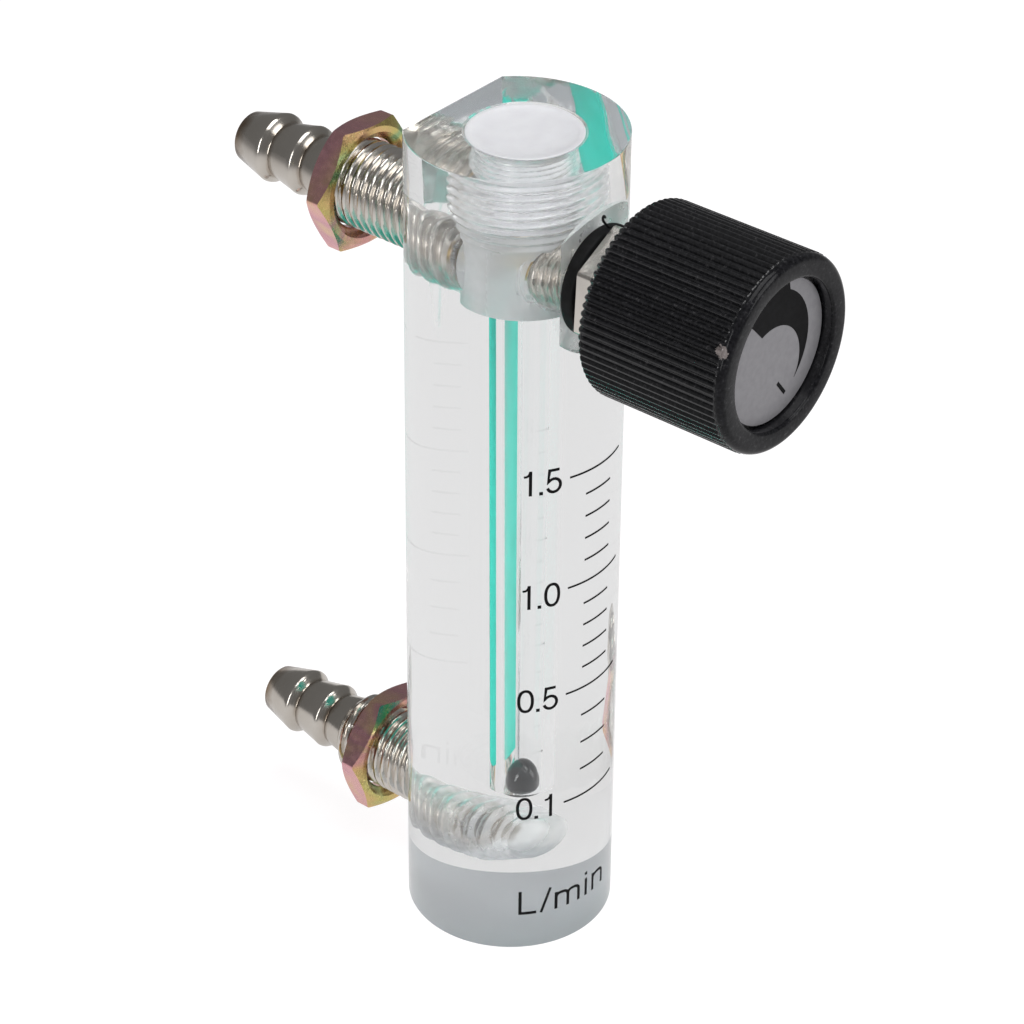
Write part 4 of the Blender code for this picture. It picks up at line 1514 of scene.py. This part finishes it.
# Floor, lamps and camera
# A white sheet under soft boxes. It shows white to the camera and darker through the
# acrylic and in the metal, and the room around it is dim in the metal.
floor_work = bmesh.new()
sheet = Matrix.Translation((0, 0, -GAP / 2))
bmesh.ops.create_grid(floor_work, x_segments=1, y_segments=1, size=3, matrix=sheet)
floor = on_object("floor", floor_work)
FLOOR, floor_tree, floor_shader = shader_material("floor_white")


def by_ray(tree, camera, through, mirrored, scattered):
    """A brightness for each kind of ray: seen, through acrylic, in a mirror, scattered."""
    rays = tree.nodes.new("ShaderNodeLightPath").outputs
    clear = rays["Is Transmission Ray"]
    gloss = calculate(tree, "MAXIMUM", calculate(tree, "SUBTRACT", rays["Is Glossy Ray"], clear), 0)
    total = calculate(tree, "MULTIPLY", rays["Is Camera Ray"], camera)
    for kind, level in ((clear, through), (gloss, mirrored), (rays["Is Diffuse Ray"], scattered)):
        total = calculate(tree, "ADD", total, calculate(tree, "MULTIPLY", kind, level))
    return total


floor_place = floor_tree.nodes.new("ShaderNodeVectorMath")
floor_place.operation = "LENGTH"
floor_tree.links.new(object_point(floor_tree), floor_place.inputs[0])
fading = floor_tree.nodes.new("ShaderNodeMapRange")
fading.interpolation_type = "SMOOTHSTEP"
fading.inputs["From Min"].default_value = 0.05
fading.inputs["From Max"].default_value = 0.60
fading.inputs["To Min"].default_value = 0.60
fading.inputs["To Max"].default_value = 0.16
floor_tree.links.new(floor_place.outputs["Value"], fading.inputs["Value"])
floor_shader.inputs["Base Color"].default_value = (0.25, 0.25, 0.25, 1)
floor_shader.inputs["Roughness"].default_value = 1.0
floor_shader.inputs["Specular IOR Level"].default_value = 0.0
floor_shader.inputs["Emission Color"].default_value = (1, 0.985, 0.99, 1)
glow = by_ray(floor_tree, 0.86, 0.52, fading.outputs["Result"], 0.45)
floor_tree.links.new(glow, floor_shader.inputs["Emission Strength"])
FLOOR.cycles.emission_sampling = "NONE"
floor.data.materials.append(FLOOR)
floor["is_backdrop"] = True

world = bpy.data.worlds.new("studio")
bpy.context.scene.world = world
world.use_nodes = True
sky = world.node_tree
background = sky.nodes["Background"]
background.inputs["Color"].default_value = (1, 1, 1, 1)
sky.links.new(by_ray(sky, 1.0, 0.58, 0.19, 0.40), background.inputs["Strength"])
world.cycles.sampling_method = "NONE"


def soft_box(name, place, target, width, height, power):
    """A rectangular lamp that faces a point."""
    lamp = bpy.data.lights.new(name, "AREA")
    lamp.shape = "RECTANGLE"
    lamp.size = width
    lamp.size_y = height
    lamp.energy = power
    obj = in_scene(name, lamp)
    obj.location = place
    way = Vector(target) - Vector(place)
    obj.rotation_euler = way.to_track_quat("-Z", "Y").to_euler()


MIDDLE = (0, 0, 0.05)
soft_box("top_box", (0.05, -0.15, 0.75), MIDDLE, 0.5, 0.5, 2.8)
soft_box("left_box", (-0.65, -0.05, 0.30), MIDDLE, 0.15, 0.5, 1.2)
soft_box("right_box", (0.25, -0.65, 0.35), MIDDLE, 0.3, 0.5, 1.6)

camera_data = bpy.data.cameras.new("camera")
camera = in_scene("camera", camera_data)
bpy.context.scene.camera = camera
AZIMUTH = math.radians(-50.74)
ELEVATION = math.radians(33.36)
ROLL = math.radians(0.558)
DISTANCE = 0.4206
LENS = 132.8
ASIDE = -0.00014
AIM_HEIGHT = 0.05277
away = Vector(
    (
        math.sin(AZIMUTH) * math.cos(ELEVATION),
        -math.cos(AZIMUTH) * math.cos(ELEVATION),
        math.sin(ELEVATION),
    )
)
across = Vector((math.cos(AZIMUTH), math.sin(AZIMUTH), 0))
aim = across * ASIDE + Vector((0, 0, AIM_HEIGHT))
turn = (-away).to_track_quat("-Z", "Y").to_matrix().to_4x4() @ Matrix.Rotation(ROLL, 4, "Z")
camera.matrix_world = Matrix.Translation(aim + away * DISTANCE) @ turn
camera_data.lens = LENS
camera_data.clip_start = 0.01
camera_data.clip_end = 20

scene = bpy.context.scene
scene.view_settings.view_transform = "Standard"
scene.cycles.transmission_bounces = 48
scene.cycles.max_bounces = 64
scene.cycles.transparent_max_bounces = 32
scene.cycles.glossy_bounces = 24

low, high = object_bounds()
